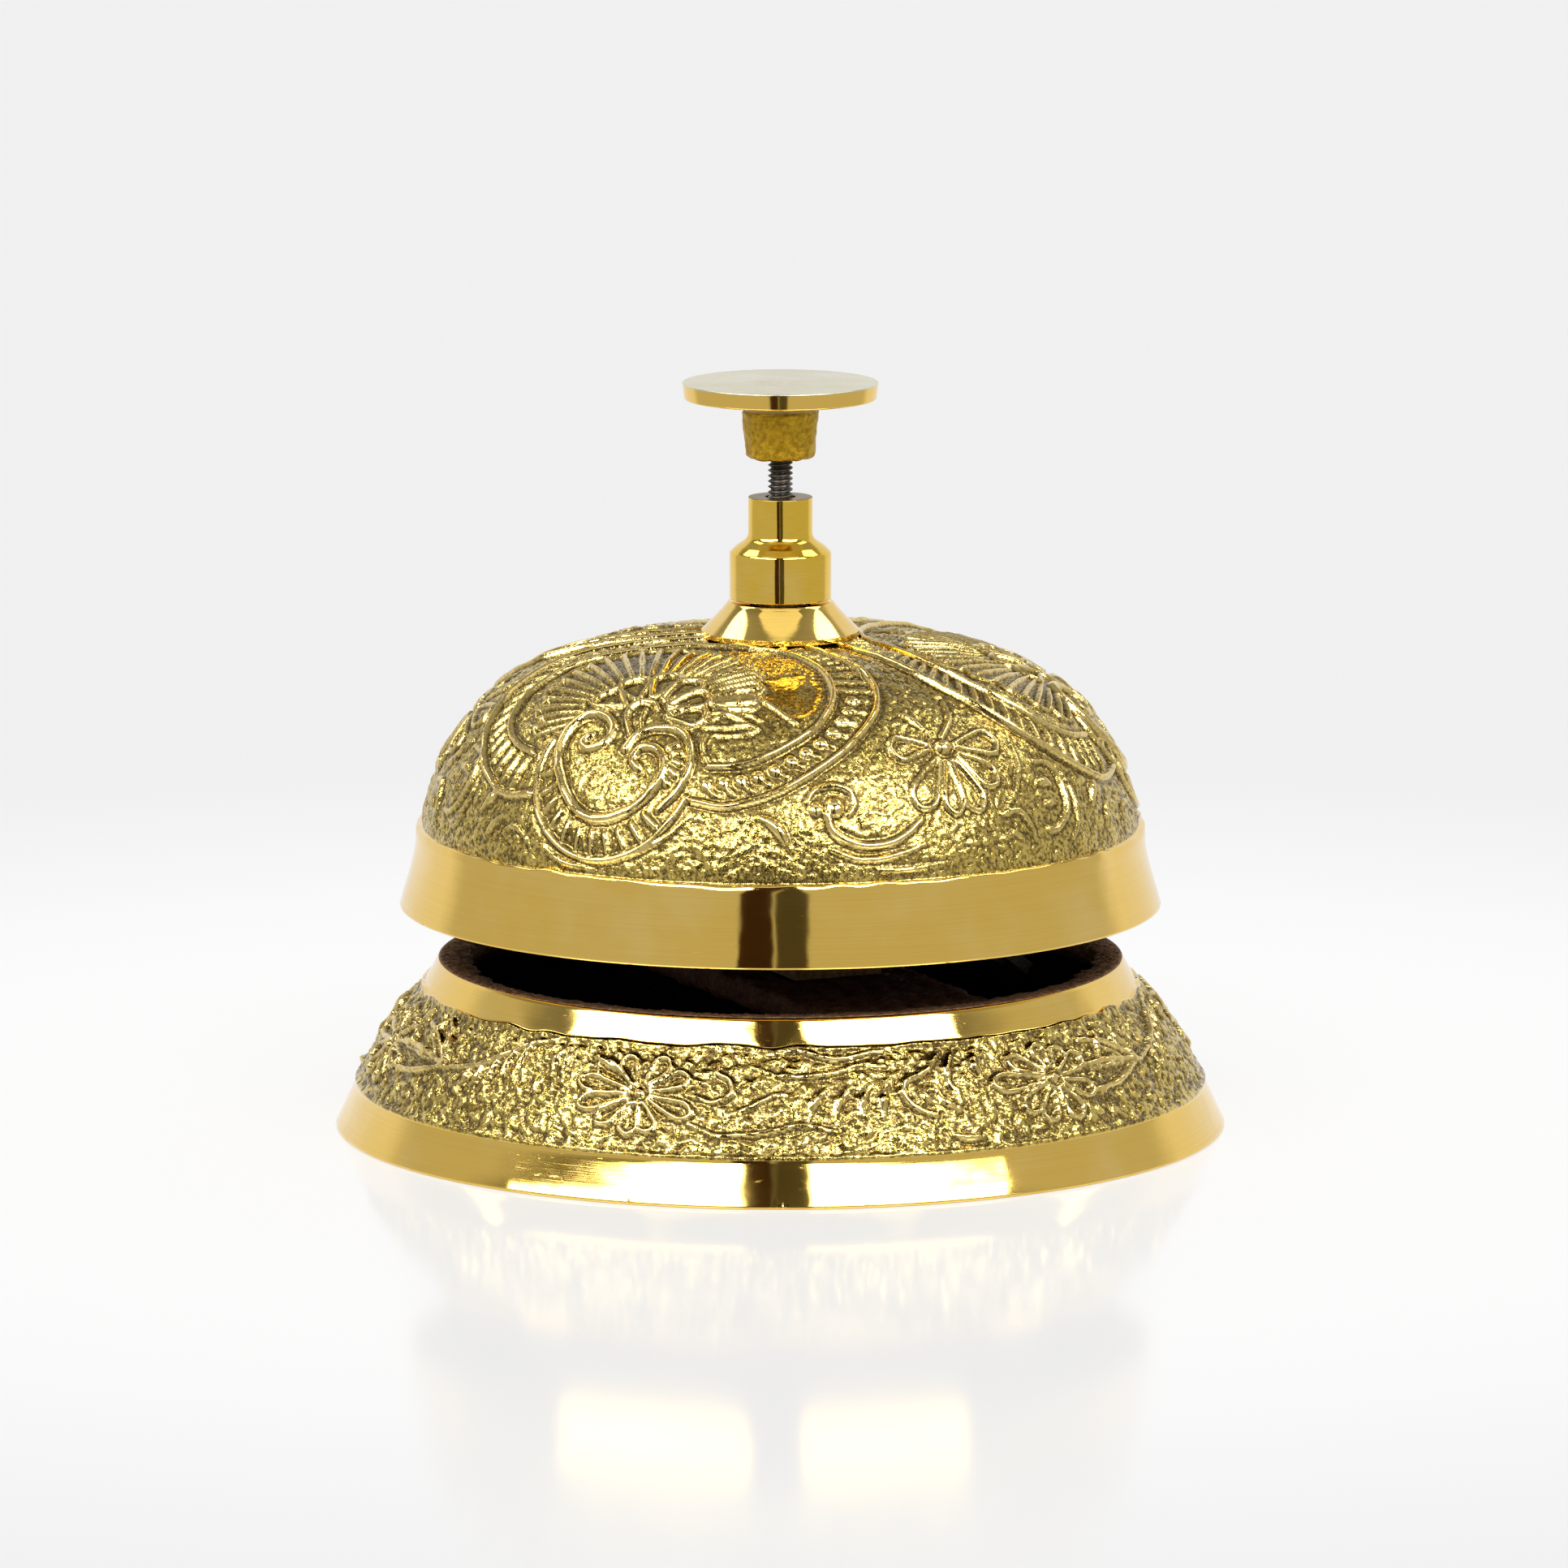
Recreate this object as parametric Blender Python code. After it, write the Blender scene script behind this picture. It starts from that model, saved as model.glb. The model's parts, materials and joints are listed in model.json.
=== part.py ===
"""Brass counter bell: a foot ring, an embossed gong and a push button that swings a hammer.

The origin is the centre of the foot ring's underside and +Z is up. The hammer mechanism is modelled along
X and turned about Z by its parent empty, so that the bridge runs from the front right to the rear left.
"""

import math

import bmesh
import bpy
from mathutils import Vector

MM = 0.001            # every length below is in millimetres
GAP = 0.3             # clearance between pieces that rest on each other
ROUND = 56            # sides of the two large turned pieces

# foot ring
BASE_R = 57.0
LOWER_BAND_TOP = 5.7
UPPER_BAND_BOTTOM = 18.3
LIP_Z = 21.8
LIP_OUTER_R = 43.85
LIP_INNER_R = 40.6
BASE_WALL = 2.6

# bridge across the foot ring's top
BRIDGE_ANGLE = math.radians(25.0)
BRIDGE_WIDTH = 24.0
BRIDGE_TOP = 21.4
BRIDGE_THICKNESS = 3.4

# gong
RIM_R = 48.7
RIM_Z = 28.6
SKIRT_TOP_R = 46.6
SKIRT_TOP_Z = 38.9
DOME_Z = 33.7         # height of the dome curve's centre
DOME_RISE = 29.5
DOME_R = 46.7
SIDE_EXPONENT = 0.56  # squareness of the dome's shoulder
GONG_WALL = 1.9
GONG_HOLE_R = 4.2

# top fittings
COLLAR_R = 10.1
COLLAR_TOP_R = 6.8
COLLAR_TOP_Z = 67.6
SHOULDER_R = 6.5
SLEEVE_R = 4.1
SLEEVE_TOP_Z = 81.0

# tube and rod
TUBE_R = 3.6
TUBE_BORE_R = 2.25
ROD_R = 1.75
ROD_BOTTOM = 14.6
TRAVEL = 4.4

# button
BUTTON_R = 12.5
BUTTON_TOP = 95.7
BUTTON_EDGE = 2.1
BOSS_BOTTOM = 86.1

# stirrup and hammer
FRAME_FLOOR = BRIDGE_TOP + GAP
FOOT_TOP = 24.0
WINDOW_TOP = 49.3
FRAME_TOP = 54.0
FRAME_HALF_DEPTH = 6.0
WINDOW_HALF_WIDTH = 7.4
FRAME_HALF_WIDTH = 10.4
FOOT_HALF_WIDTH = 17.5
SCREW_Y = 14.0
PIVOT_X = 10.0        # the lever's arm, from the pivot to the rod
PIVOT_Z = 42.0
PIN_R = 1.2
PIN_BORE_R = PIN_R + GAP
COLLAR_FACE = 45.7    # underside of the rod's collar
HEAD_REACH = 30.6     # from the pivot to the hammer head's centre
HEAD_SLOPE = math.radians(-24.75)
HEAD_R = 4.3
HEAD_LENGTH = 7.0
ARM_THICKNESS = 1.6
TAB_DROP = HEAD_LENGTH / 2 + GAP + ARM_THICKNESS / 2
SWING = TRAVEL / PIVOT_X


def clear_scene():
    for old in list(bpy.data.objects):
        bpy.data.objects.remove(old, do_unlink=True)


def material(name, colour, roughness, metallic=1.0):
    """A plain Principled material; colour is linear RGB."""
    made = bpy.data.materials.new(name)
    made.use_nodes = True
    shader = made.node_tree.nodes["Principled BSDF"]
    shader.inputs["Base Color"].default_value = (*colour, 1.0)
    shader.inputs["Roughness"].default_value = roughness
    shader.inputs["Metallic"].default_value = metallic
    made.diffuse_color = (*colour, 1.0)
    return made


def polished_brass(name):
    return material(name, (0.62, 0.44, 0.13), 0.16)


def cast_brass(name):
    return material(name, (0.46, 0.34, 0.12), 0.45)


def dark_steel(name):
    return material(name, (0.16, 0.15, 0.14), 0.42)


def plated_steel(name):
    return material(name, (0.42, 0.40, 0.37), 0.32)


def empty(name, location=(0, 0, 0), turn=0.0, parent=None):
    made = bpy.data.objects.new(name, None)
    made.location = Vector(location) * MM
    made.rotation_euler.z = turn
    made.parent = parent
    bpy.context.collection.objects.link(made)
    return made


def add_object(name, data, finish=None, parent=None, location=(0, 0, 0)):
    """Link mesh or curve data as a named object; location is in millimetres."""
    made = bpy.data.objects.new(name, data)
    made.location = Vector(location) * MM
    made.parent = parent
    if finish is not None:
        data.materials.append(finish)
    bpy.context.collection.objects.link(made)
    return made


def mesh_from(build, sharp=35.0):
    """Make a mesh from a bmesh whose lengths are millimetres, with outward faces and smooth shading."""
    build.verts.ensure_lookup_table()
    bmesh.ops.recalc_face_normals(build, faces=build.faces)
    bmesh.ops.scale(build, vec=(MM, MM, MM), verts=build.verts)
    mesh = bpy.data.meshes.new("mesh")
    build.to_mesh(mesh)
    build.free()
    mesh.shade_smooth()
    mesh.set_sharp_from_angle(angle=math.radians(sharp))
    return mesh


def ring_of_points(radius, z, segments):
    """Points round the Z axis; radius is a number or a function of the angle."""
    points = []
    for step in range(segments):
        angle = 2 * math.pi * step / segments
        reach = radius(angle) if callable(radius) else radius
        points.append((reach * math.cos(angle), reach * math.sin(angle), z))
    return points


def lathe(profile, segments=48, closed=True):
    """Turn (radius, z) pairs about Z: a closed outline makes a ring, an open one is capped at both ends."""
    build = bmesh.new()
    rings = [[build.verts.new(p) for p in ring_of_points(r, z, segments)] for r, z in profile]
    pairs = list(zip(rings, rings[1:]))
    if closed:
        pairs.append((rings[-1], rings[0]))
    for upper, lower in pairs:
        for step in range(segments):
            after = (step + 1) % segments
            build.faces.new((upper[step], upper[after], lower[after], lower[step]))
    if not closed:
        build.faces.new(rings[0])
        build.faces.new(rings[-1])
    return mesh_from(build)


def extruded(outline, low, high):
    """Extrude a closed outline of (x, z) pairs along Y."""
    build = bmesh.new()
    near = [build.verts.new((x, low, z)) for x, z in outline]
    far = [build.verts.new((x, high, z)) for x, z in outline]
    build.faces.new(near)
    build.faces.new(far)
    for step in range(len(outline)):
        after = (step + 1) % len(outline)
        build.faces.new((near[step], near[after], far[after], far[step]))
    return mesh_from(build)


def box(x, y, z):
    """A block from three (low, high) pairs."""
    return extruded([(x[0], z[0]), (x[1], z[0]), (x[1], z[1]), (x[0], z[1])], y[0], y[1])


def rod_along_y(radius, low, high):
    return extruded(arc(0, 0, radius, 0, 360, 20)[:-1], low, high)


def arc(cx, cz, radius, start, stop, steps):
    """Points of an arc in the XZ plane, with its angles in degrees."""
    points = []
    for step in range(steps + 1):
        angle = math.radians(start + (stop - start) * step / steps)
        points.append((cx + radius * math.cos(angle), cz + radius * math.sin(angle)))
    return points


def combine(target, tool, operation):
    """Join or cut the target with a guide object that stays hidden."""
    tool.hide_render = True
    tool.display_type = "WIRE"
    change = target.modifiers.new(tool.name, "BOOLEAN")
    change.operation = operation
    change.solver = "EXACT"
    change.object = tool


def cut(target, name, mesh, location=(0, 0, 0)):
    combine(target, add_object("cutter_" + name, mesh, None, target.parent, location), "DIFFERENCE")


# ---------------------------------------------------------------- foot ring

def foot_outline():
    """Closed outline of the ring's wall, from the lip's outer edge down and back up inside."""
    outer = [
        (LIP_OUTER_R, LIP_Z),
        (44.6, 20.0),
        (45.7, UPPER_BAND_BOTTOM),
        (46.8, 17.6),
        (50.5, 12.0),
        (53.9, LOWER_BAND_TOP + 0.5),
        (54.5, LOWER_BAND_TOP),
        (54.9, 4.3),
        (55.3, 3.0),
        (56.2, 1.5),
        (BASE_R, 0.4),
        (BASE_R, 0.0),
    ]
    inner = [
        (BASE_R - BASE_WALL, 0.0),
        (54.5 - BASE_WALL, LOWER_BAND_TOP),
        (45.7 - BASE_WALL, 17.4),
        (LIP_INNER_R, 19.3),
        (LIP_INNER_R, LIP_Z),
    ]
    return outer + inner


def make_foot_ring(bridge):
    ring = add_object("base_ring", lathe(foot_outline(), ROUND), cast_brass("base_brass"))
    half = BRIDGE_WIDTH / 2
    reach = LIP_INNER_R + 1.2
    bar = box((-half, half), (-reach, reach), (BRIDGE_TOP - BRIDGE_THICKNESS, BRIDGE_TOP))
    combine(ring, add_object("guide_bridge", bar, None, bridge), "UNION")
    holes = [("rod", 0.0, ROD_R + 0.55), ("front", -SCREW_Y, 1.8), ("rear", SCREW_Y, 1.8)]
    for name, y, radius in holes:
        drill = lathe([(radius, BRIDGE_TOP + 2), (radius, BRIDGE_TOP - 8)], 20, closed=False)
        tool = add_object("cutter_bridge_" + name, drill, None, bridge, (0, y, 0))
        combine(ring, tool, "DIFFERENCE")
    return ring


# ---------------------------------------------------------------- gong and top fittings

def dome_point(turn):
    """A point on the outer dome; turn runs from 0 at the skirt's side to 1 at the crown."""
    angle = turn * math.pi / 2
    return DOME_R * math.cos(angle) ** SIDE_EXPONENT, DOME_Z + DOME_RISE * math.sin(angle)


def gong_outline():
    first = math.asin((SKIRT_TOP_Z + 1.2 - DOME_Z) / DOME_RISE) / (math.pi / 2)
    last = math.acos((GONG_HOLE_R / DOME_R) ** (1 / SIDE_EXPONENT)) / (math.pi / 2)
    steps = 8
    dome = [dome_point(last + (first - last) * step / steps) for step in range(steps + 1)]
    skirt = [(SKIRT_TOP_R, SKIRT_TOP_Z), (46.7, 36.4), (47.4, 33.2), (RIM_R, RIM_Z)]
    outer = dome + skirt
    return outer + [offset_inwards(outer, step) for step in reversed(range(len(outer)))]


def offset_inwards(outer, index):
    """The inner wall's point behind an outer one, square to the outline there."""
    before = outer[max(index - 1, 0)]
    after = outer[min(index + 1, len(outer) - 1)]
    along = Vector((after[0] - before[0], after[1] - before[1])).normalized()
    if index == 0:
        return GONG_HOLE_R, outer[0][1] - GONG_WALL
    if index == len(outer) - 1:
        return outer[index][0] - GONG_WALL, outer[index][1]
    return outer[index][0] + along.y * GONG_WALL, outer[index][1] - along.x * GONG_WALL


def washer(name, finish, outer, inner, low, high, segments=24, parent=None):
    outline = [(inner, high), (outer, high), (outer, low), (inner, low)]
    return add_object(name, lathe(outline, segments), finish, parent)


def hex_nut(name, finish, across_flats, inner, low, high, parent=None, location=(0, 0, 0)):
    """A chamfered hexagon nut about Z."""
    sixth = math.pi / 3

    def flats(angle):
        return across_flats / 2 / math.cos((angle + sixth / 2) % sixth - sixth / 2)

    def softened(angle):
        return min(flats(angle), across_flats / 2 * 1.04)

    chamfer = 0.35
    outline = [(inner, high), (softened, high), (flats, high - chamfer)]
    outline += [(flats, low + chamfer), (softened, low), (inner, low)]
    return add_object(name, lathe(outline, 12), finish, parent, location)


def make_gong():
    return add_object("gong", lathe(gong_outline(), ROUND), cast_brass("gong_brass"))


def make_seat():
    crown = dome_point(1.0)[1] - GONG_WALL
    bore = TUBE_R + GAP
    hex_nut("tube_lock_nut", plated_steel("lock_nut_steel"), 13.0, bore, FRAME_TOP + GAP, 56.4)
    hex_nut("gong_support_nut", plated_steel("support_nut_steel"), 15.0, bore, 56.7, 58.6)
    washer("support_washer", plated_steel("washer_steel"), 8.6, bore, 58.9, crown - 1.2 - 2 * GAP)
    fibre = material("fibre", (0.20, 0.08, 0.04), 0.85, 0.0)
    washer("fibre_washer", fibre, 8.0, bore, crown - 1.2 - GAP, crown - GAP)


def make_cone_collar():
    crown = dome_point(1.0)[1]
    bottom = crown + GAP
    outline = [(TUBE_R + GAP, COLLAR_TOP_Z), (COLLAR_TOP_R - 0.3, COLLAR_TOP_Z)]
    outline += [(COLLAR_TOP_R, COLLAR_TOP_Z - 0.3)]
    for step in range(1, 5):
        share = step / 4
        flare = share ** 1.5
        radius = COLLAR_TOP_R + (COLLAR_R - COLLAR_TOP_R) * flare
        outline.append((radius, COLLAR_TOP_Z - 0.3 - (COLLAR_TOP_Z - 0.7 - bottom) * share))
    outline += [(COLLAR_R, bottom), (TUBE_R + GAP, bottom)]
    add_object("cone_collar", lathe(outline, 32), polished_brass("collar_brass"))


def make_shoulder_nut():
    bottom = COLLAR_TOP_Z + GAP
    shoulder = arc(SHOULDER_R - 2.3, 72.7, 2.3, 0, 90, 3)
    outline = [(TUBE_BORE_R + 0.4, SLEEVE_TOP_Z), (SLEEVE_R - 0.25, SLEEVE_TOP_Z)]
    outline += [(SLEEVE_R, SLEEVE_TOP_Z - 0.25), (SLEEVE_R, 75.6)]
    outline += list(reversed(shoulder))
    outline += [(SHOULDER_R, bottom), (TUBE_R + GAP, bottom), (TUBE_R + GAP, 73.5)]
    outline += [(TUBE_BORE_R + 0.4, 73.5)]
    add_object("shoulder_nut", lathe(outline, 28), polished_brass("shoulder_brass"))


def make_center_tube():
    outline = [(TUBE_BORE_R, 73.2), (TUBE_R, 73.2), (TUBE_R, WINDOW_TOP), (TUBE_BORE_R, WINDOW_TOP)]
    add_object("center_tube", lathe(outline, 28), plated_steel("tube_steel"))


# ---------------------------------------------------------------- plunger

def make_plunger(plunger):
    """The empty stands on the slide's axis at the button's height."""
    down = plunger.location.z / MM

    def place(name, profile, segments, finish, closed=True):
        moved = [(r, z - down) for r, z in profile]
        return add_object(name, lathe(moved, segments, closed), finish, plunger)

    edge_bottom = BUTTON_TOP - BUTTON_EDGE
    disc = [(11.2, BUTTON_TOP), (BUTTON_R - 0.7, BUTTON_TOP - 0.1), (BUTTON_R - 0.3, BUTTON_TOP - 0.4)]
    disc += [(BUTTON_R, edge_bottom + 0.3), (BUTTON_R - 0.5, edge_bottom), (6.0, 92.7)]
    boss = [(4.8, 91.6), (4.0, BOSS_BOTTOM + 0.5), (3.5, BOSS_BOTTOM)]
    socket = [(ROD_R + GAP, BOSS_BOTTOM), (ROD_R + GAP, 92.0)]
    place("button", disc + boss + socket, 36, polished_brass("button_brass"), closed=False)
    place("push_rod", [(ROD_R, 91.7), (ROD_R, ROD_BOTTOM)], 20, dark_steel("rod_steel"), closed=False)
    bore = ROD_R + GAP
    collar = [(bore, 47.2), (5.9, 47.2), (6.2, 46.9), (6.2, 46.0), (5.9, COLLAR_FACE), (bore, COLLAR_FACE)]
    place("rod_collar", collar, 24, plated_steel("rod_collar_steel"))
    lock = plated_steel("rod_lock_steel")
    hex_nut("rod_lock_nut", lock, 7.0, bore, 47.5 - down, 49.0 - down, plunger)
    stop = plated_steel("rod_stop_steel")
    hex_nut("rod_stop_nut", stop, 6.5, bore, 15.6 - down, 17.6 - down, plunger)


def make_return_spring(mechanism):
    """A compression spring with two closed turns at each end, round the rod."""
    wire = 0.4
    turn_radius = 2.9
    low = FOOT_TOP + GAP + wire
    high = COLLAR_FACE - GAP - wire
    closed_turns = 1.25
    closed_pitch = 0.85
    coils = 8.0
    per_turn = 12
    open_rise = high - low - 2 * closed_turns * closed_pitch
    points = []
    for step in range(int(coils * per_turn) + 1):
        turn = step / per_turn
        rise = closed_pitch * min(turn, closed_turns)
        rise += open_rise * min(max(turn - closed_turns, 0) / (coils - 2 * closed_turns), 1)
        rise += closed_pitch * max(turn - coils + closed_turns, 0)
        angle = 2 * math.pi * turn
        points.append((turn_radius * math.cos(angle), turn_radius * math.sin(angle), low + rise))
    curve = bpy.data.curves.new("return_spring", "CURVE")
    curve.dimensions = "3D"
    curve.bevel_depth = wire * MM
    curve.bevel_resolution = 1
    curve.use_fill_caps = True
    line = curve.splines.new("POLY")
    line.points.add(len(points) - 1)
    for point, place in zip(line.points, points):
        point.co = (place[0] * MM, place[1] * MM, place[2] * MM, 1.0)
    add_object("return_spring", curve, plated_steel("spring_steel"), mechanism)


# ---------------------------------------------------------------- stirrup

def make_hammer_frame(mechanism):
    depth = FRAME_HALF_DEPTH
    ear = 3.2
    side = [(-depth, FRAME_FLOOR), (depth, FRAME_FLOOR), (depth, 33.0)]
    side += arc(PIVOT_X, PIVOT_Z, ear, -80, 80, 8)
    side += [(depth, WINDOW_TOP), (depth, FRAME_TOP), (-depth, FRAME_TOP)]
    block = extruded(side, -FOOT_HALF_WIDTH, FOOT_HALF_WIDTH)
    frame = add_object("hammer_frame", block, cast_brass("frame_brass"), mechanism)
    wide = (-30.0, 30.0)
    cut(frame, "frame_left", box(wide, (-30.0, -FRAME_HALF_WIDTH), (FOOT_TOP, 80.0)))
    cut(frame, "frame_right", box(wide, (FRAME_HALF_WIDTH, 30.0), (FOOT_TOP, 80.0)))
    window = (-WINDOW_HALF_WIDTH, WINDOW_HALF_WIDTH)
    cut(frame, "frame_window", box(wide, window, (FOOT_TOP, WINDOW_TOP)))
    tube_hole = lathe([(TUBE_R + GAP, 60.0), (TUBE_R + GAP, 45.0)], 24, closed=False)
    cut(frame, "frame_tube", tube_hole)
    rod_hole = lathe([(ROD_R + 0.55, 30.0), (ROD_R + 0.55, 15.0)], 20, closed=False)
    cut(frame, "frame_rod", rod_hole)
    for name, y in (("front", -SCREW_Y), ("rear", SCREW_Y)):
        screw_hole = lathe([(1.8, 30.0), (1.8, 15.0)], 16, closed=False)
        cut(frame, "frame_screw_" + name, screw_hole, (0, y, 0))
    cut(frame, "frame_pin", rod_along_y(PIN_BORE_R, -20.0, 20.0), (PIVOT_X, 0, PIVOT_Z))


def make_frame_screws(mechanism):
    shank = 1.5
    seat = FOOT_TOP + GAP
    under = BRIDGE_TOP - BRIDGE_THICKNESS - GAP
    head = [(1.3, seat + 1.9), (2.3, seat + 1.6), (2.9, seat + 0.9), (3.0, seat)]
    body = [(shank, seat), (shank, under - 3.2)]
    for name, y in (("front", -SCREW_Y), ("rear", SCREW_Y)):
        mesh = lathe(head + body, 20, closed=False)
        steel = plated_steel("screw_steel_" + name)
        add_object("frame_screw_" + name, mesh, steel, mechanism, (0, y, 0))
        nut_steel = plated_steel("nut_steel_" + name)
        low = under - 2.4
        hex_nut("frame_nut_" + name, nut_steel, 5.5, shank + GAP, low, under, mechanism, (0, y, 0))


def make_pivot(pivot):
    """The pin lies along Y between the stirrup's ears; its head is on one side and a clip on the other."""
    outer = FRAME_HALF_WIDTH + GAP
    outline = [(2.1, outer + 1.2), (2.3, outer + 0.9), (2.3, outer), (PIN_R, outer), (PIN_R, -outer - 1.8)]
    pin = add_object("pivot_pin", lathe(outline, 20, closed=False), plated_steel("pin_steel"), pivot)
    pin.rotation_euler.x = -math.pi / 2
    ring = [(PIN_BORE_R, outer + 0.8), (2.7, outer + 0.8), (2.7, outer), (PIN_BORE_R, outer)]
    clip = add_object("pivot_clip", lathe(ring, 20), dark_steel("clip_steel"), pivot)
    clip.rotation_euler.x = math.pi / 2


# ---------------------------------------------------------------- hammer

def lever_outline():
    """Side view about the pivot at half travel: the hub and a plate with a toe under the rod's collar."""
    toe = 1.2
    plate_top = -0.4
    plate_bottom = -2.0
    hub = 2.7
    outline = [(-PIVOT_X - toe, plate_bottom)]
    outline += arc(-PIVOT_X, 0, toe, 180, 0, 8)
    outline += [(-PIVOT_X + toe, plate_top)]
    outline += arc(0, 0, hub, 188.5, -132, 22)
    return outline


def arm_outline():
    """Side view of the bent arm, from inside the hub to the end of the tab that carries the head."""
    half = ARM_THICKNESS / 2
    bend = beside_head(-4.5, -TAB_DROP)
    tip = beside_head(3.6, -TAB_DROP)
    start = bend.normalized() * 1.9
    across = Vector((-bend.y, bend.x)).normalized() * half
    tab = (tip - bend).normalized()
    tab_across = Vector((-tab.y, tab.x)) * half
    upper = [start + across, bend + (across + tab_across) / 2, tip + tab_across]
    lower = [tip - tab_across, bend - (across + tab_across) / 2, start - across]
    return [tuple(point) for point in upper + lower]


def make_lever(hammer):
    steel = plated_steel("lever_steel")
    lever = add_object("hammer_lever", extruded(lever_outline(), -6.4, 6.4), steel, hammer)
    arm = extruded(arm_outline(), -2.6, 2.6)
    combine(lever, add_object("guide_arm", arm, None, hammer), "UNION")
    slot = 4.2
    cut(lever, "lever_slot", box((-30.0, -4.6), (-slot, slot), (-20.0, 20.0)))
    cut(lever, "lever_bore", rod_along_y(PIN_BORE_R, -20.0, 20.0))
    rivet_hole = lathe([(1.5, 0.0), (1.5, -12.0)], 16, closed=False)
    tool = add_object("cutter_lever_rivet", rivet_hole, None, hammer, head_centre())
    tool.rotation_euler.y = -HEAD_SLOPE
    combine(lever, tool, "DIFFERENCE")


def beside_head(further, above):
    """A point in the lever's side view, counted from the head's centre along the sloping arm and across it."""
    along = Vector((math.cos(HEAD_SLOPE), math.sin(HEAD_SLOPE)))
    across = Vector((-along.y, along.x))
    return along * (HEAD_REACH + further) + across * above


def head_centre():
    centre = beside_head(0, 0)
    return centre.x, 0, centre.y


def make_head(hammer):
    """A brass barrel that stands on the arm's tab, held by a rivet."""
    half = HEAD_LENGTH / 2
    soft = 0.7
    bore = 1.5
    barrel = [(bore, half), (HEAD_R - soft, half), (HEAD_R - 0.2, half - 0.25), (HEAD_R, half - soft)]
    barrel += [(HEAD_R, soft - half), (HEAD_R - 0.2, 0.25 - half), (HEAD_R - soft, -half), (bore, -half)]
    head = -TAB_DROP - ARM_THICKNESS / 2 - GAP
    rivet = [(1.2, half - 0.2), (1.2, head), (2.4, head), (2.2, head - 0.7), (1.4, head - 1.1)]
    brass = polished_brass("head_brass")
    for name, mesh, finish in (
        ("hammer_head", lathe(barrel, 20), brass),
        ("head_rivet", lathe(rivet, 16, closed=False), dark_steel("rivet_steel")),
    ):
        piece = add_object(name, mesh, finish, hammer, head_centre())
        piece.rotation_euler.y = -HEAD_SLOPE


def main():
    clear_scene()
    mechanism = empty("mechanism", turn=BRIDGE_ANGLE)
    plunger = empty("plunger_slide", (0, 0, BUTTON_TOP))
    pivot = empty("pivot_axis", (PIVOT_X, 0, PIVOT_Z), parent=mechanism)
    hammer = empty("hammer_at_rest", parent=pivot)
    hammer.rotation_euler.y = SWING / 2
    make_foot_ring(mechanism)
    make_hammer_frame(mechanism)
    make_frame_screws(mechanism)
    make_center_tube()
    make_seat()
    make_gong()
    make_cone_collar()
    make_shoulder_nut()
    make_pivot(pivot)
    make_return_spring(mechanism)
    make_plunger(plunger)
    make_lever(hammer)
    make_head(hammer)


main()
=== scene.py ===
"""An ornate brass counter bell: the looks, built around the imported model.

Lengths are in millimetres until a mesh is made; the stage is in metres. The bell stands on z = 0
with its axis on Z, and its front faces -Y. The dome's ornament is laid out on a flat map of the
dome: the distance from the map's origin is the arc length from the crown, and the direction is the
direction round the bell.
"""

import json
import math

import bmesh
import bpy
import numpy as np
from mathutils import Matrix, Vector

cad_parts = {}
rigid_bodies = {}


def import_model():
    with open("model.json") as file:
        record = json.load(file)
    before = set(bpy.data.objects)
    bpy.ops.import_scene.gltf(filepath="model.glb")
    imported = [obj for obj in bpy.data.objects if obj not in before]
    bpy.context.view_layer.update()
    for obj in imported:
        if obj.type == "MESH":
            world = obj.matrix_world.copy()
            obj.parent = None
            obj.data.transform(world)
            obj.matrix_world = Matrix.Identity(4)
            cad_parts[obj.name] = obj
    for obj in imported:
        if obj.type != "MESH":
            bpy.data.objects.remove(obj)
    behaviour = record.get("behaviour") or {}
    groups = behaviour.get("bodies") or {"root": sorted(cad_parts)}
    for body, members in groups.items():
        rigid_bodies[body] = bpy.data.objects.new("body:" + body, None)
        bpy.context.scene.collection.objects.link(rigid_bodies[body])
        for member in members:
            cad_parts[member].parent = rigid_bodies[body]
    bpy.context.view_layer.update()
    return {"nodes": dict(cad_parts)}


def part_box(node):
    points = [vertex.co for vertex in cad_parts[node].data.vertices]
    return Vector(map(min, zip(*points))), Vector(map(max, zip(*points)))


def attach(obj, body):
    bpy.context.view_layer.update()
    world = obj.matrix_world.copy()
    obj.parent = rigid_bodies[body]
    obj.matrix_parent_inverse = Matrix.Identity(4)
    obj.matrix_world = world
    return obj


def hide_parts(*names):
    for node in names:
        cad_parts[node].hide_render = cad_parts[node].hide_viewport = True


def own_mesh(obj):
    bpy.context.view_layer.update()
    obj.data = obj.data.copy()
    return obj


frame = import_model()

MM = 0.001


def size_of(node):
    """Radius, lowest and highest z of a node that is round the bell's axis, in millimetres."""
    low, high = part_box(node)
    return high.x / MM, low.z / MM, high.z / MM


# The gong: a polished skirt under a dome whose side is squarer than an ellipse.
RIM_R, RIM_Z, CROWN_Z = size_of("gong")
DOME_Z = 33.7
DOME_RISE = CROWN_Z - DOME_Z
DOME_R = 46.7
SIDE_EXPONENT = 0.56
SKIRT_TOP_Z = 38.9
SKIRT = [
    (46.35, 39.0), (46.62, 38.75), (46.66, 37.8), (46.72, 36.4), (47.0, 34.8), (47.4, 33.2),
    (47.85, 31.6), (48.32, 30.1), (RIM_R - 0.12, RIM_Z + 0.45), (RIM_R, RIM_Z + 0.12),
]
GONG_WALL = 1.7        # a little thinner than the solid, so that the hammer stays clear of it
GONG_HOLE_R = 4.2
DOME_TURNS = (0.0, 120.0, 235.5)       # where the dome's ornament is repeated
GROUND = -0.4          # the sunken ground of the dome's ornament, below the dome's curve
DOME_CARVE, DOME_SAND, DOME_WAVES, DOME_LUMPS = 0.9, 0.065, 0.05, 0.05

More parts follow.
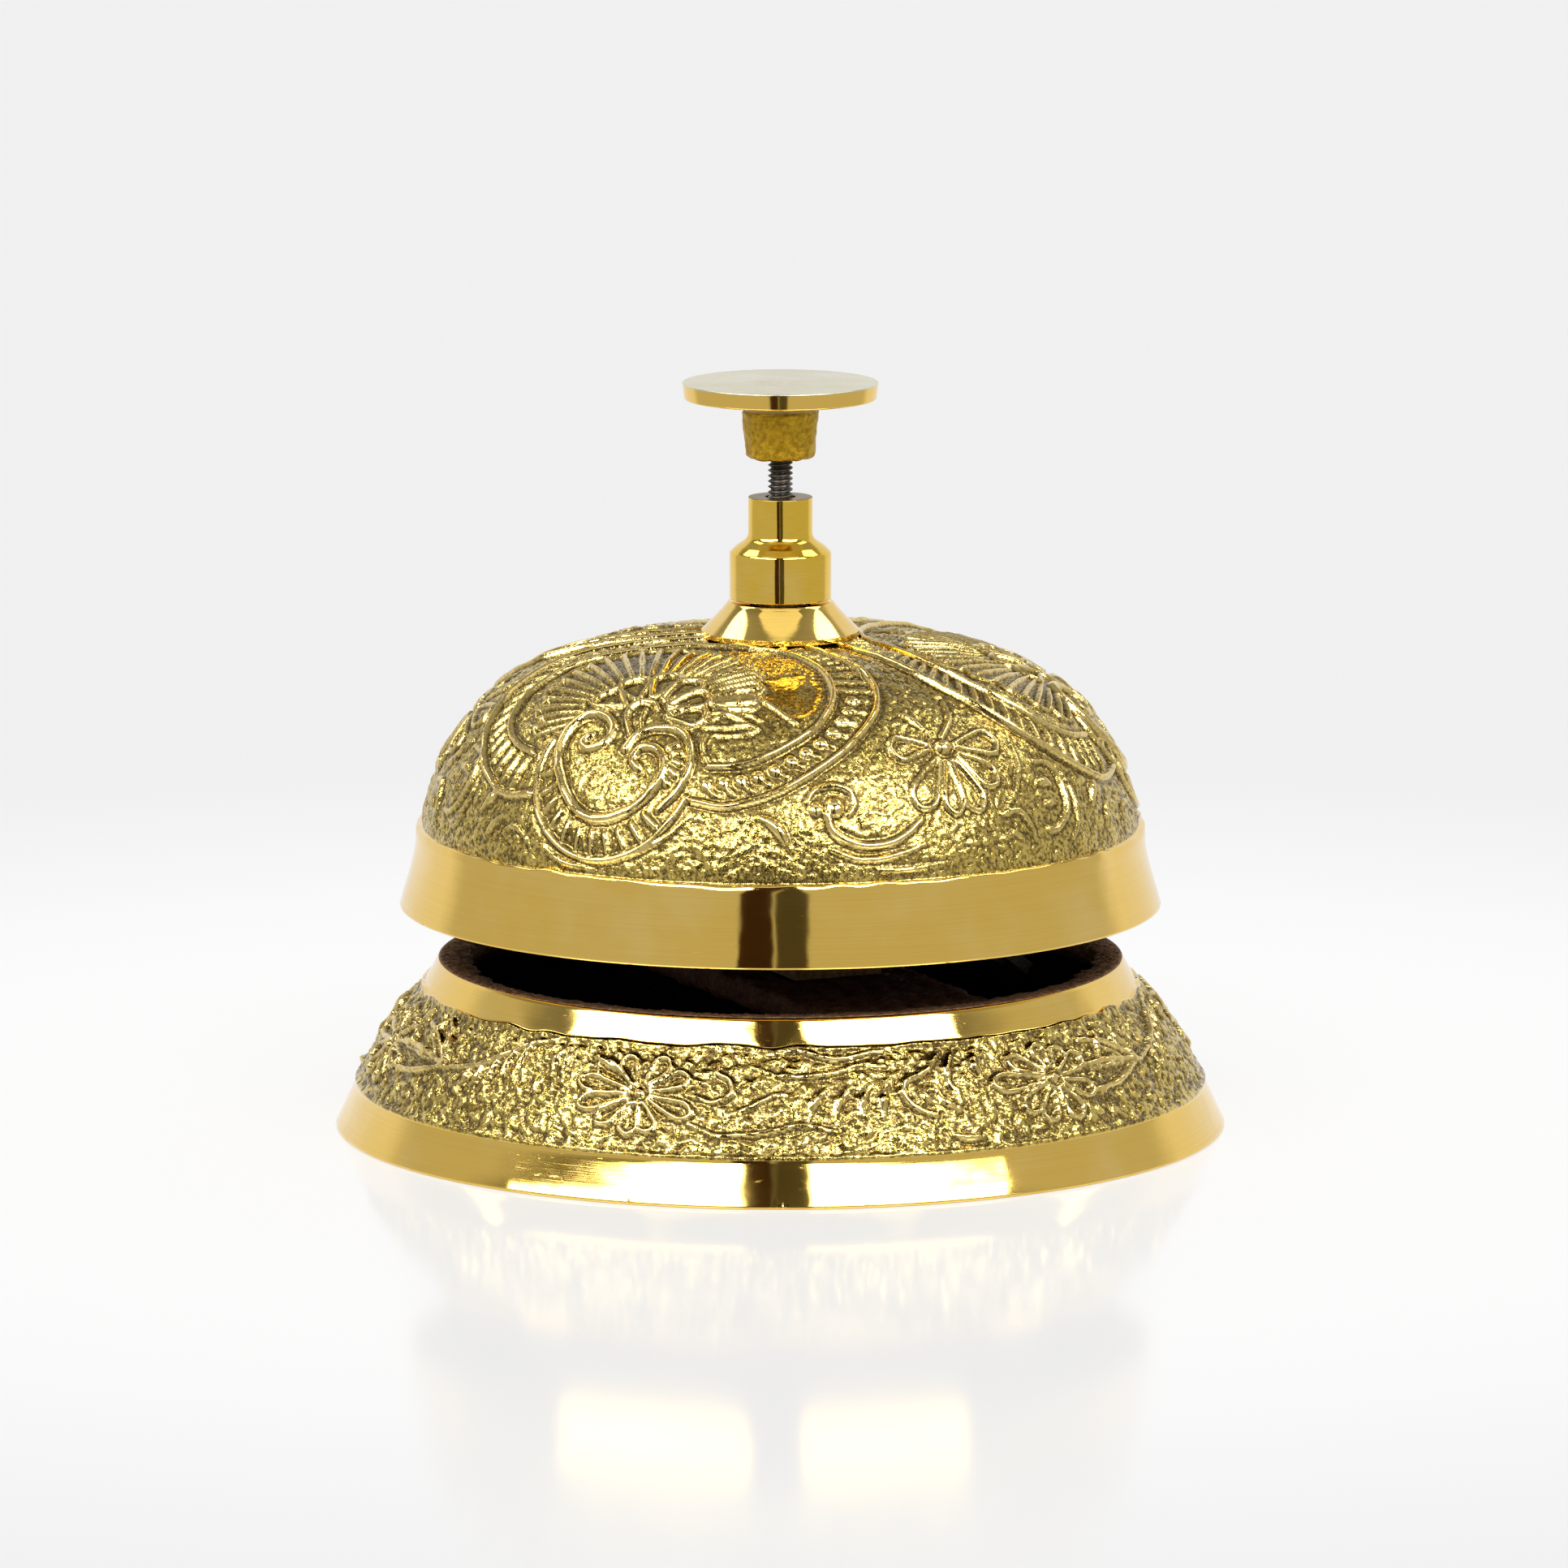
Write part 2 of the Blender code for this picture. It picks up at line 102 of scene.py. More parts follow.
# The foot: two polished bands with an embossed cone between them, and a rough lip.
BASE_R, _, LIP_Z = size_of("base_ring")
LOWER_BAND_TOP = 5.7
UPPER_BAND_BOTTOM = 18.3
LIP_OUTER_R = 43.85
LIP_INNER_R = 40.6
BASE_WALL = 2.6
BRIDGE_ANGLE = math.radians(25.0)
BRIDGE_WIDTH = 24.0
BRIDGE_THICKNESS = 3.4
BRIDGE_SCREW_Y = 14.0
CONE_TOP = np.array([45.75, 18.15])
CONE_FOOT = np.array([54.25, LOWER_BAND_TOP + 0.15])
CONE_LENGTH = np.linalg.norm(CONE_FOOT - CONE_TOP)
DOWN_CONE = (CONE_FOOT - CONE_TOP) / CONE_LENGTH
CONE_BULGE, CONE_RISE = 0.55, 0.35     # how far the cone stands off its straight line
CONE_REPEATS = 3
CONE_MEAN_R = 50.0
CONE_MAP_LOW, CONE_MAP_HIGH = -1, 16       # the cone's maps reach past both its edges
CONE_GROUND = -0.3
CONE_CARVE, CONE_SAND, CONE_WAVES = 1.0, 0.1, 0.06

COLUMNS = 1152         # steps round the embossed pieces
FINE = 0.25            # the length of a step down them


# ---------------------------------------------------------------- meshes

def link(name, mesh, materials=()):
    made = bpy.data.objects.new(name, mesh)
    bpy.context.collection.objects.link(made)
    for material in materials:
        mesh.materials.append(material)
    return made


def quad_mesh(name, points, close_rows=False):
    """A mesh from rows of points, in millimetres. Each row goes round and closes."""
    rows, columns = points.shape[:2]
    index = np.arange(rows * columns).reshape(rows, columns)
    below = np.roll(index, -1, axis=0)
    if not close_rows:
        index, below = index[:-1], below[:-1]
    corners = [index, below, np.roll(below, -1, axis=1), np.roll(index, -1, axis=1)]
    quads = np.stack(corners, axis=-1)
    mesh = bpy.data.meshes.new(name)
    mesh.vertices.add(rows * columns)
    mesh.vertices.foreach_set("co", (points * MM).astype(np.float32).ravel())
    mesh.loops.add(quads.size)
    mesh.loops.foreach_set("vertex_index", quads.astype(np.int32).ravel())
    mesh.polygons.add(quads.size // 4)
    mesh.polygons.foreach_set("loop_start", np.arange(0, quads.size, 4, dtype=np.int32))
    mesh.update(calc_edges=True)
    mesh.shade_smooth()
    return mesh


def set_shares(mesh, shares, above, below):
    """Store the embossed rows' shares as attributes, blank on the rows above and below them."""
    for name, values in shares.items():
        layer = mesh.attributes.new(name, "FLOAT", "POINT")
        padded = np.pad(values, ((above, below), (0, 0)))
        layer.data.foreach_set("value", np.ascontiguousarray(padded, np.float32).ravel())


def fillet(corners, steps=5):
    """Round the corners of an open outline of (radius, z, fillet radius) points."""
    line = [corners[0][:2]]
    for before, corner, after in zip(corners, corners[1:], corners[2:]):
        here = Vector(corner[:2])
        to_before = Vector(before[:2]) - here
        to_after = Vector(after[:2]) - here
        if corner[2] == 0:
            line.append(tuple(here))
            continue
        half = to_before.angle(to_after) / 2
        reach = corner[2] / math.tan(half)
        start = here + to_before.normalized() * reach
        end = here + to_after.normalized() * reach
        for step in range(steps + 1):
            share = step / steps
            line.append(tuple(start.lerp(here, share).lerp(here.lerp(end, share), share)))
    line.append(corners[-1][:2])
    return line


def refine(line, step):
    """Add points along an outline so that none are further apart than a step."""
    finer = [line[0]]
    for start, end in zip(line, line[1:]):
        pieces = max(1, math.ceil(math.dist(start, end) / step))
        for piece in range(1, pieces + 1):
            share = piece / pieces
            finer.append(tuple(a + (b - a) * share for a, b in zip(start, end)))
    return finer


def round_points(radius, z, angles):
    """Points round the axis, from a radius and a height for each row or for each point."""
    radius = np.broadcast_to(radius, (len(radius), len(angles)))
    z = np.broadcast_to(z, radius.shape)
    return np.stack([radius * np.cos(angles), radius * np.sin(angles), z], axis=-1)


def round_angles(columns):
    """Directions from the front, -Y, all the way round."""
    return np.arange(columns) * 2 * math.pi / columns - math.pi / 2


def turned(name, outline, material, columns=128, closed=False):
    """A turned piece from an outline that runs from the top down outside; an open one is capped."""
    line = np.array(outline)
    points = round_points(line[:, :1], line[:, 1:2], round_angles(columns))
    mesh = quad_mesh(name, points, close_rows=closed)
    if not closed:
        cap_ends(mesh)
    mesh.shade_smooth()
    mesh.set_sharp_from_angle(angle=math.radians(30))
    return link(name, mesh, [material])


def cap_ends(mesh):
    """Close the open ends."""
    build = bmesh.new()
    build.from_mesh(mesh)
    edges = [edge for edge in build.edges if edge.is_boundary]
    bmesh.ops.holes_fill(build, edges=edges)
    bmesh.ops.recalc_face_normals(build, faces=build.faces)
    build.to_mesh(mesh)
    build.free()


# ---------------------------------------------------------------- relief

class Canvas:
    """Heights over a flat map of a surface, drawn stroke by stroke."""

    CELL = 0.1
    FULLNESS = 1.08     # blurring narrows a stroke, so it's drawn a little wider
    LINE_BLUR, PAD_BLUR, CROWD_REACH = 0.8, 3.0, 4.0     # in cells

    def __init__(self, low, high):
        self.low = np.array(low, float)
        columns, rows = np.ceil((np.array(high) - self.low) / self.CELL).astype(int)
        self.lines = np.zeros((rows, columns), np.float32)
        self.pads = np.zeros((rows, columns), np.float32)

    def window(self, low, high):
        """The cells between two corners, with their places."""
        shape = np.array(self.lines.shape[::-1])
        first = np.clip(((np.array(low) - self.low) / self.CELL).astype(int), 0, shape)
        last = np.clip(((np.array(high) - self.low) / self.CELL).astype(int) + 2, 0, shape)
        x = self.low[0] + np.arange(first[0], last[0]) * self.CELL
        y = self.low[1] + np.arange(first[1], last[1]) * self.CELL
        return np.s_[first[1]:last[1], first[0]:last[0]], x[None, :], y[:, None]

    def stroke(self, points, width=0.9, height=0.5, swell=(0.75, 1.0, 0.75)):
        """A raised round line. swell scales its width and height at its start, middle and end."""
        line = smooth_line(points) if len(points) > 2 else np.array(refine(points, 0.5))
        scale = np.interp(np.linspace(0, 1, len(line) - 1), [0, 0.5, 1], swell)
        for start, end, size in zip(line, line[1:], scale):
            half = width / 2 * (0.4 + 0.6 * size) * self.FULLNESS
            cells, x, y = self.window(np.minimum(start, end) - half, np.maximum(start, end) + half)
            along = end - start
            squared = max(along @ along, 1e-9)
            share = ((x - start[0]) * along[0] + (y - start[1]) * along[1]) / squared
            share = np.clip(share, 0, 1)
            across_x = x - start[0] - share * along[0]
            across_y = y - start[1] - share * along[1]
            distance = across_x ** 2 + across_y ** 2
            rise = height * size * np.clip(1 - distance / half ** 2, 0, 1) ** 0.8
            np.maximum(self.lines[cells], rise, out=self.lines[cells])

    def bead(self, place, radius, height):
        """A round boss."""
        place = np.array(place)
        cells, x, y = self.window(place - radius, place + radius)
        distance = ((x - place[0]) ** 2 + (y - place[1]) ** 2) / radius ** 2
        rise = height * np.clip(1 - distance, 0, 1) ** 0.6
        np.maximum(self.lines[cells], rise, out=self.lines[cells])

    def pad(self, outline, height):
        """Raise, or with a minus sink, the inside of a smooth closed outline."""
        line = smooth_line(list(outline) + [outline[0]])
        cells, x, y = self.window(line.min(0), line.max(0))
        inside = np.zeros(np.broadcast(x, y).shape, bool)
        for start, end in zip(line, line[1:]):
            crosses = (start[1] > y) != (end[1] > y)
            slope = (end[0] - start[0]) / (end[1] - start[1] if end[1] != start[1] else 1e-9)
            inside ^= crosses & (x < start[0] + (y - start[1]) * slope)
        self.pads[cells] = np.where(inside, height, self.pads[cells])

    def finished(self):
        """Lines and pads with softened edges, and how closely lines surround each cell."""
        lines = blurred(self.lines, self.LINE_BLUR)
        crowd = np.clip(blurred(lines, self.CROWD_REACH) - lines, 0, 1)
        return lines, blurred(self.pads, self.PAD_BLUR), crowd


def smooth_line(points, step=0.4):
    """A Catmull-Rom curve through the points."""
    ends = [np.array(point, float) for point in points]
    ends = [2 * ends[0] - ends[1]] + ends + [2 * ends[-1] - ends[-2]]
    line = []
    for a, b, c, d in zip(ends, ends[1:], ends[2:], ends[3:]):
        count = max(2, math.ceil(np.linalg.norm(c - b) / step))
        for t in np.arange(count) / count:
            bend = 2 * a - 5 * b + 4 * c - d + t * (3 * (b - c) + d - a)
            line.append(b + 0.5 * t * (c - a + t * bend))
    line.append(ends[-2])
    return np.array(line)


def frequencies(shape):
    """The squared frequency of each term of a real two-way transform."""
    return np.fft.fftfreq(shape[0])[:, None] ** 2 + np.fft.rfftfreq(shape[1])[None, :] ** 2


def blurred(field, cells):
    """A Gaussian blur; the map's edges are blank, so it may wrap."""
    filtered = np.fft.rfft2(field) * np.exp(-2 * (math.pi * cells) ** 2 * frequencies(field.shape))
    return np.fft.irfft2(filtered, s=field.shape)


def grain(shape, cells, seed):
    """A random field of blobs about that many cells across, about zero with deviation one."""
    field = blurred(np.random.default_rng(seed).standard_normal(shape), cells)
    return field / field.std()


def look_up(field, canvas, x, y):
    """The field's value at each place on the canvas, between cells."""
    column = np.clip((x - canvas.low[0]) / canvas.CELL, 0, field.shape[1] - 1.001)
    row = np.clip((y - canvas.low[1]) / canvas.CELL, 0, field.shape[0] - 1.001)
    left, low = column.astype(int), row.astype(int)
    right_share, up_share = column - left, row - low
    lower = field[low, left] * (1 - right_share) + field[low, left + 1] * right_share
    upper = field[low + 1, left] * (1 - right_share) + field[low + 1, left + 1] * right_share
    return lower * (1 - up_share) + upper * up_share


def direction(degrees, length=1.0):
    """A step on the map, at an angle from its x."""
    angle = math.radians(degrees)
    return np.array([math.cos(angle), math.sin(angle)]) * length


def moved(points, place, turn=0.0, size=1.0):
    """Points turned and scaled about the origin, then moved to a place."""
    along, across = direction(turn, size), direction(turn + 90, size)
    return [np.array(place) + x * along + y * across for x, y in points]


def loop_petal(canvas, place, turn, inner, outer, width, height=0.5, line=0.85):
    """A petal drawn as a narrow loop that opens towards the flower's centre, hollow inside."""
    half = width / 2
    body = outer - inner
    outline = [
        (inner, 0.25), (inner + 0.45 * body, half * 0.75), (inner + 0.8 * body, half), (outer, 0.0),
    ]
    outline += [(x, -y) for x, y in reversed(outline[:-1])]
    canvas.stroke(moved(outline, place, turn), line, height, (0.8, 1.0, 0.8))


def leaf(canvas, points, width, height=0.5):
    """A comma-shaped leaf, thick in the middle and thin at its ends."""
    canvas.stroke(points, width, height, (0.25, 1.0, 0.2))


# ---------------------------------------------------------------- ornament of the dome

RING_CENTRE = np.array([-14.8, -22.5])
OUTER_RING = [
    (-12.3, -46.2), (-8.1, -47.7), (-3.5, -47.3), (0.8, -45.8), (5, -42.9), (8.8, -39),
    (11.6, -33.5), (12.3, -29), (11.5, -24), (8.9, -18.7), (5.3, -12.3), (0.5, -6), (-6, -2.8),
    (-13, -2.2), (-20, -2.8), (-27, -3.6), (-33, -6.6), (-37.6, -11), (-40.3, -16.5),
    (-41.3, -22), (-40.6, -27.5), (-38.6, -31), (-35.4, -33.8),
]
INNER_RING = [
    (-9.6, -41.9), (-6.5, -42.3), (-3.2, -41.8), (0.8, -39.7), (4.4, -36.4), (6.2, -32.4),
    (6.7, -28.6),
    (6, -24), (3.9, -19), (0.6, -13.8), (-4, -9.6), (-10, -7.6), (-17, -7.4), (-24, -8),
    (-30, -10.6), (-34, -14.6), (-36, -19), (-35.6, -23.6), (-33.6, -27.6),
]
HEART_RING_CENTRE = np.array([-22.6, -37.6])
HEART_RING_R = 12.4
FAN_CENTRE = np.array([-18, -30])


def ring_reach(ring, turns):
    """How far a ring is from the medallion's centre in each direction, in degrees."""
    offsets = smooth_line(ring) - RING_CENTRE
    angles = np.degrees(np.unwrap(np.arctan2(offsets[:, 1], offsets[:, 0])))
    return np.interp(turns, angles, np.hypot(offsets[:, 0], offsets[:, 1]))


def draw_medallion(canvas):
    """Two rings with rungs between them."""
    canvas.stroke(OUTER_RING, 1.05, 0.70, (1, 1, 1))
    canvas.stroke(INNER_RING, 0.95, 0.64, (1, 1, 1))
    turns = np.arange(-78, 198, 5.6)
    near = ring_reach(INNER_RING, turns)
    far = ring_reach(OUTER_RING, turns)
    for turn, start, end in zip(turns, near, far):
        middle = 0.5 * (start + end)
        if turn < -15:
            canvas.bead(RING_CENTRE + direction(turn, middle - 0.4), 0.95, 0.5)
            line = [RING_CENTRE + direction(turn, middle),
                RING_CENTRE + direction(turn + 1.5, end - 1.2)]
            canvas.stroke(line, 0.8, 0.36)
            continue
        line = [RING_CENTRE + direction(turn - 1.5, start + 1),
            RING_CENTRE + direction(turn + 1, end - 1.1)]
        canvas.stroke(line, 0.95, 0.42, (0.8, 1, 0.8))


def fan_reach(turn):
    """How far the fan's fringe is from its centre."""
    return np.interp(turn, [-11, 15, 55, 92, 125, 163], [14.6, 15.6, 18.5, 21, 18.6, 14.6])


def draw_fan(canvas):
    """A fan-shaped flower: an arch, six outlined petals round it, and a fringe of fingers."""
    arch = [
        (-19.7, -33.4), (-19.9, -30.5), (-19.5, -28.4), (-17.8, -27.3), (-16.1, -28.3),
        (-15.7, -29.8),
    ]
    canvas.stroke(arch, 0.95, 0.6)
    canvas.stroke([(-17.3, -29), (-17.9, -30.6), (-18.1, -32.6)], 0.8, 0.4, (0.9, 0.8, 0.5))
    for turn, reach in zip((124, 94, 63, 36, 8, -20), (9, 9.6, 10.2, 9.6, 9.2, 9)):
        loop_petal(canvas, FAN_CENTRE, turn, 3.7, reach, 3.9, 0.55)
        tip = moved([(4.6, 0.5), (7.5, 1.6), (reach, 0), (7.5, -1.6), (4.6, -0.5)], FAN_CENTRE,
            turn)
        canvas.pad(tip, -0.12)
    for finger in range(27):
        turn = -11 + 6.6 * finger
        far = fan_reach(turn)
        near = np.interp(turn, [-11, 90, 163], [9.6, 10.6, 8.6])
        line = [FAN_CENTRE + direction(turn, near), FAN_CENTRE + direction(turn + 0.6, far)]
        canvas.stroke(line, 0.85, 0.52, (0.6, 1, 1))
    for turn in np.arange(-4, 160, 13.2):
        reach = fan_reach(turn)
        tip = [FAN_CENTRE + direction(turn - 6, reach), FAN_CENTRE + direction(turn, reach + 0.7)]
        tip.append(FAN_CENTRE + direction(turn + 6, reach))
        canvas.stroke(tip, 0.8, 0.45)


def draw_side_leaves(canvas):
    """Leaves to the right of the fan, and a tail that runs round a smooth hollow."""
    canvas.stroke([(-9.5, -30.2), (-3.4, -30.2), (-1.2, -32), (0.4, -33.8), (2, -35.6)], 0.8, 0.5)
    leaf(canvas, [(-9.8, -32.2), (-6.4, -33.4), (-3.6, -35.6)], 0.9)
    canvas.stroke([(-9.6, -34.2), (-7, -33.4), (-4.2, -33.6), (-2.4, -35)], 0.7, 0.4)
    canvas.stroke([(-10, -35), (-7.4, -35.6), (-4.6, -35.7), (-3, -36.6), (-5.2, -37.4),
        (-8.6, -36.8)], 0.75, 0.42)
    canvas.stroke([(-9.8, -36.4), (-10.4, -38.8), (-9.6, -41.4)], 0.8, 0.4)
    hollow = [
        (-1.5, -24.5), (2.8, -22.4), (4.6, -25.5), (4.9, -30), (3.6, -33.6), (1.2, -33.4),
        (-1.8, -30.2),
    ]
    canvas.pad(hollow, -0.3)
    for shift in (0, 1.3, 2.6):
        canvas.stroke([(-5.4 + shift, -16.6), (-4.0 + shift, -13.8), (-2.6 + shift, -12.6)], 0.7,
            0.35)


def draw_heart(canvas):
    """Two volutes that meet as a heart, inside a ring with short rungs."""
    left = [
        (-21.8, -44.6), (-25, -44.2), (-28, -42.4), (-29.8, -39.2), (-30.3, -35), (-30, -31),
        (-28, -27.8), (-25, -26.6), (-22.6, -28.2), (-21.8, -31), (-23.2, -33.2), (-25.6, -33),
        (-26.2, -31.4), (-24.8, -30.8),
    ]
    canvas.stroke(left, 1.55, 0.80, (0.9, 1, 0.7))
    right = [
        (-21.8, -44.6), (-19, -43.9), (-16.6, -42.2), (-15.6, -39.6), (-16.4, -37.2),
        (-18.4, -36.4),
        (-19.8, -37.6), (-19.2, -39.2),
    ]
    canvas.stroke(right, 1.45, 0.74, (0.8, 1, 0.7))
    outer = [
        (-20.6, -35.6), (-19, -33.9), (-16.4, -33.4), (-13.6, -34.6), (-12.1, -37), (-11.9, -39.8),
        (-12.6, -42.2), (-14.4, -44.4), (-17.4, -46),
    ]
    canvas.stroke(outer, 1.4, 0.74, (0.8, 1, 0.6))
    for turn in (-62, -38, -14, 10, 34):
        place = np.array([-17.2, -39.2])
        leaf(canvas, [place + direction(turn + 4, 2.6), place + direction(turn - 6, 4.4)], 1.5, 0.5)
    canvas.pad(moved([(5.6, 0), (0, 5), (-5.6, 0), (0, -6)], (-26, -35)), 0.16)
    canvas.pad(moved([(4.2, 0), (0, 4.2), (-4.2, 0), (0, -4.6)], (-17.4, -39)), 0.16)
    ring = [HEART_RING_CENTRE + direction(turn, HEART_RING_R) for turn in range(128, 321, 12)]
    canvas.stroke(ring, 1, 0.55, (1, 1, 1))
    for turn in range(150, 300, 14):
        line = [HEART_RING_CENTRE + direction(turn, 8.9),
            HEART_RING_CENTRE + direction(turn + 3, 11.4)]
        canvas.stroke(line, 1.1, 0.45, (0.7, 1, 0.9))


def draw_loop_flower(canvas):
    """A flower of open loops round a boss, with a stem."""
    centre = np.array([21.6, -34.6])
    canvas.bead(centre, 1.15, 0.72)
    petals = [
        (36, 2, 8.8, 3.6), (-8, 2, 8.6, 3.3), (-43, 2.2, 9.6, 3.2), (-68, 2.2, 9.6, 2.8),
        (-100, 2.2, 10.4, 3.6), (205, 2, 7.8, 3.4),
    ]
    for turn, near, far, width in petals:
        loop_petal(canvas, centre, turn, near, far, width, 0.52)
    leaf(canvas, [(19.6, -33.6), (16.6, -31.4), (14.4, -31)], 1)
    canvas.stroke([(21.2, -33), (21.8, -29.4), (20.9, -25.6)], 1, 0.45, (0.9, 1, 0.6))
    canvas.stroke([(30.4, -27), (32.4, -30.6), (33.2, -34.6), (32.6, -38.6)], 0.8, 0.36,
        (0.4, 1, 0.4))


def draw_scrolls(canvas):
    """C-scrolls, leaves and drops between the medallions."""
    canvas.bead((7.6, -47.9), 1.4, 0.66)
    canvas.bead((5, -48.4), 1.1, 0.5)
    canvas.stroke([(3.6, -47.6), (4.6, -45.9), (7, -45), (9.4, -45.4), (10.4, -47), (9.6, -48.6)],
        0.9, 0.5)
    sweep = [
        (6.6, -49), (7.6, -51), (10, -52), (13, -52), (16.2, -50.8), (18.6, -48.8),
        (20.4, -46.2),
    ]
    canvas.stroke(sweep, 1.25, 0.66, (0.9, 1, 0.5))
    canvas.stroke([(7.6, -53.3), (11, -54), (15, -53.2), (18.6, -51.4), (21.6, -49.2)], 0.95, 0.48,
        (0.5, 1, 0.5))
    canvas.stroke([(15.4, -54.6), (20, -53.2), (25, -50.6)], 0.85, 0.4, (0.4, 1, 0.4))
    leaf(canvas, [(-3.2, -49.4), (-0.6, -51), (1.6, -54)], 1.7, 0.62)
    canvas.stroke([(34.4, -28.6), (37, -26.6), (40.2, -27.6), (42.2, -30.4), (42, -33.8),
        (40.4, -35.6)], 1, 0.5)
    canvas.stroke([(38.4, -25.4), (42, -26.6), (44.8, -29.8), (45, -33.4)], 0.9, 0.42,
        (0.4, 1, 0.5))
    leaf(canvas, [(36, -31.4), (37, -30), (38.4, -29.2)], 1.5, 0.6)
    leaf(canvas, [(38.4, -33.2), (39.2, -32), (39.6, -31.4)], 1.1, 0.5)
    canvas.stroke([(32.2, -39.6), (34.4, -37.4), (37, -37.6), (39.8, -38.8)], 0.95, 0.45,
        (0.9, 1, 0.5))
    canvas.stroke([(33.6, -42.4), (35, -40.6), (36.8, -40.2)], 0.8, 0.36)
    leaf(canvas, [(45, -19.4), (45.2, -21.8), (46.4, -24.4)], 1.8, 0.66)
    leaf(canvas, [(48.6, -18), (49.2, -21), (51, -23.8)], 1.3, 0.5)
    canvas.stroke([(-44.6, -36.2), (-41.6, -34.6), (-39.2, -36.6), (-38.4, -40.6)], 0.8, 0.36,
        (0.3, 1, 0.3))
    canvas.stroke([(-36.6, -41), (-35.2, -43.8), (-33, -46.6), (-29.6, -49.2)], 0.9, 0.42,
        (0.3, 1, 0.3))
    canvas.stroke([(-26.8, -49.6), (-21.8, -50.4), (-16.6, -49.8), (-12.4, -47.8)], 0.9, 0.4,
        (0.3, 1, 0.3))


def dome_canvas():
    """The dome's ornament, laid flat."""
    reach = 62
    canvas = Canvas((-reach, -reach), (reach, reach))
    for draw in (draw_medallion, draw_fan, draw_side_leaves, draw_heart, draw_loop_flower,
        draw_scrolls):
        draw(canvas)
    return canvas


# ---------------------------------------------------------------- ornament of the foot

def draw_foot_flower(canvas, place, petals):
    """Open petals, each with its turn, length and width, round a boss."""
    canvas.bead(place, 0.8, 0.5)
    for turn, length, width in petals:
        loop_petal(canvas, np.array(place), turn, 1.4, length, width, 0.6, 0.75)


class FootMap:
    """The canvas for a third of the foot's cone.

    Places are degrees to the right and height up the slope. Lines stand RISE times as high as
    they are drawn.
    """

    RISE = 1.4

    def __init__(self, turn_length):
        low, high = (-0.5 * turn_length, CONE_MAP_LOW), (0.5 * turn_length, CONE_MAP_HIGH)
        self.canvas = Canvas(low, high)
        self.degree = turn_length * CONE_REPEATS / 360

    def at(self, points):
        return [(turn * self.degree, up) for turn, up in points]

    def line(self, points, width=0.8, height=0.45, swell=(0.4, 1, 0.4)):
        self.canvas.stroke(self.at(points), width, self.RISE * height, swell)

    def leaf(self, points, width=1.3, height=0.5):
        leaf(self.canvas, self.at(points), width, self.RISE * height)


def draw_foot_flowers(foot):
    """Two flowers of long open petals."""
    petals = [
        (150, 7.4, 2.2), (172, 8.6, 2), (195, 8, 2), (222, 6.4, 2), (262, 5.6, 2.2),
        (292, 5.4, 2.2), (120, 5.8, 2.2), (60, 5.8, 2.4), (24, 6.6, 2.2), (340, 7.4, 2.2),
    ]
    draw_foot_flower(foot.canvas, foot.at([(-20.4, 8)])[0], petals)
    petals = [
        (150, 7, 2.2), (178, 9.6, 2.4), (212, 7, 2.4), (240, 6.2, 2.4), (290, 6, 2.6),
        (20, 6.6, 2.4), (50, 5, 2.2), (100, 5, 2.2), (335, 6.4, 2.2),
    ]
    draw_foot_flower(foot.canvas, foot.at([(42.8, 8)])[0], petals)


def draw_foot_stem(foot):
    """A stem that sweeps up to the right, with slender branches that hang from it."""
    foot.line([(-57, 7.4), (-50, 8.8), (-46, 10.6), (-42, 12.8), (-37, 14.2)], 1, 0.5,
        (0.6, 1, 0.6))
    for shift, drop in ((0, 5.2), (2.4, 5.6), (4.8, 5.8), (7.2, 6), (9.6, 6.4)):
        top = 9.6 + 0.46 * shift
        branch = [(-49.0 + shift, top), (-50.8 + shift, top - 1.6), (-51.4 + shift,
            top - drop + 1.6)]
        foot.line(branch + [(-52.6 + shift, top - drop)], 0.85, 0.45, (0.4, 1, 0.3))
    for shift in (0, 2):
        foot.leaf([(-34.0 + shift, 13.6), (-35.6 + shift, 11.4), (-35.2 + shift, 9.2)], 1.1)


def draw_foot_palmette(foot, centre):
    """Long outlined petals that open to the left."""
    petals = [((-14.5, -2.4), -0.8), ((-15.5, 1.2), 0.5), ((-11, 4.6), 1.1), ((-5.5, 6.2), 1.2)]
    for tip, bow in petals:
        middle = (centre + 0.5 * tip[0], 7.7 + 0.5 * tip[1] + bow)
        foot.line([(centre, 7.7), middle, (centre + tip[0], 7.7 + tip[1])], 0.9, 0.48,
            (0.7, 1, 0.6))
        inner = (centre + 0.55 * tip[0], 7.3 + 0.5 * tip[1] + 0.4 * bow)
        foot.line([(centre - 1.5, 7.5), inner, (centre + 0.9 * tip[0], 7.0 + tip[1])], 0.7, 0.36)


def draw_foot_hooks(foot):
    """Hooked leaves between the two flowers."""
    foot.line([(24.2, 13.2), (22.4, 11.3), (20.2, 10.4), (18.2, 9.6), (17.8, 7.8), (19.2, 6),
        (22, 5)], 1.1, 0.55)
    foot.line([(26.8, 13.4), (25.3, 11.2), (25, 9), (26.2, 7.6)], 1.2, 0.55)
    foot.line([(22.8, 8.8), (23.6, 6.6), (26.4, 5)], 1.1, 0.5)
    foot.line([(20.6, 8.8), (21, 7.4), (22.4, 6.6)], 0.9, 0.4)
    foot.leaf([(23.5, 2.2), (26, 1.6), (28.6, 1.4)], 1)
    foot.leaf([(30.6, 12.8), (29.8, 11.2), (30.8, 9.4)], 1.1)


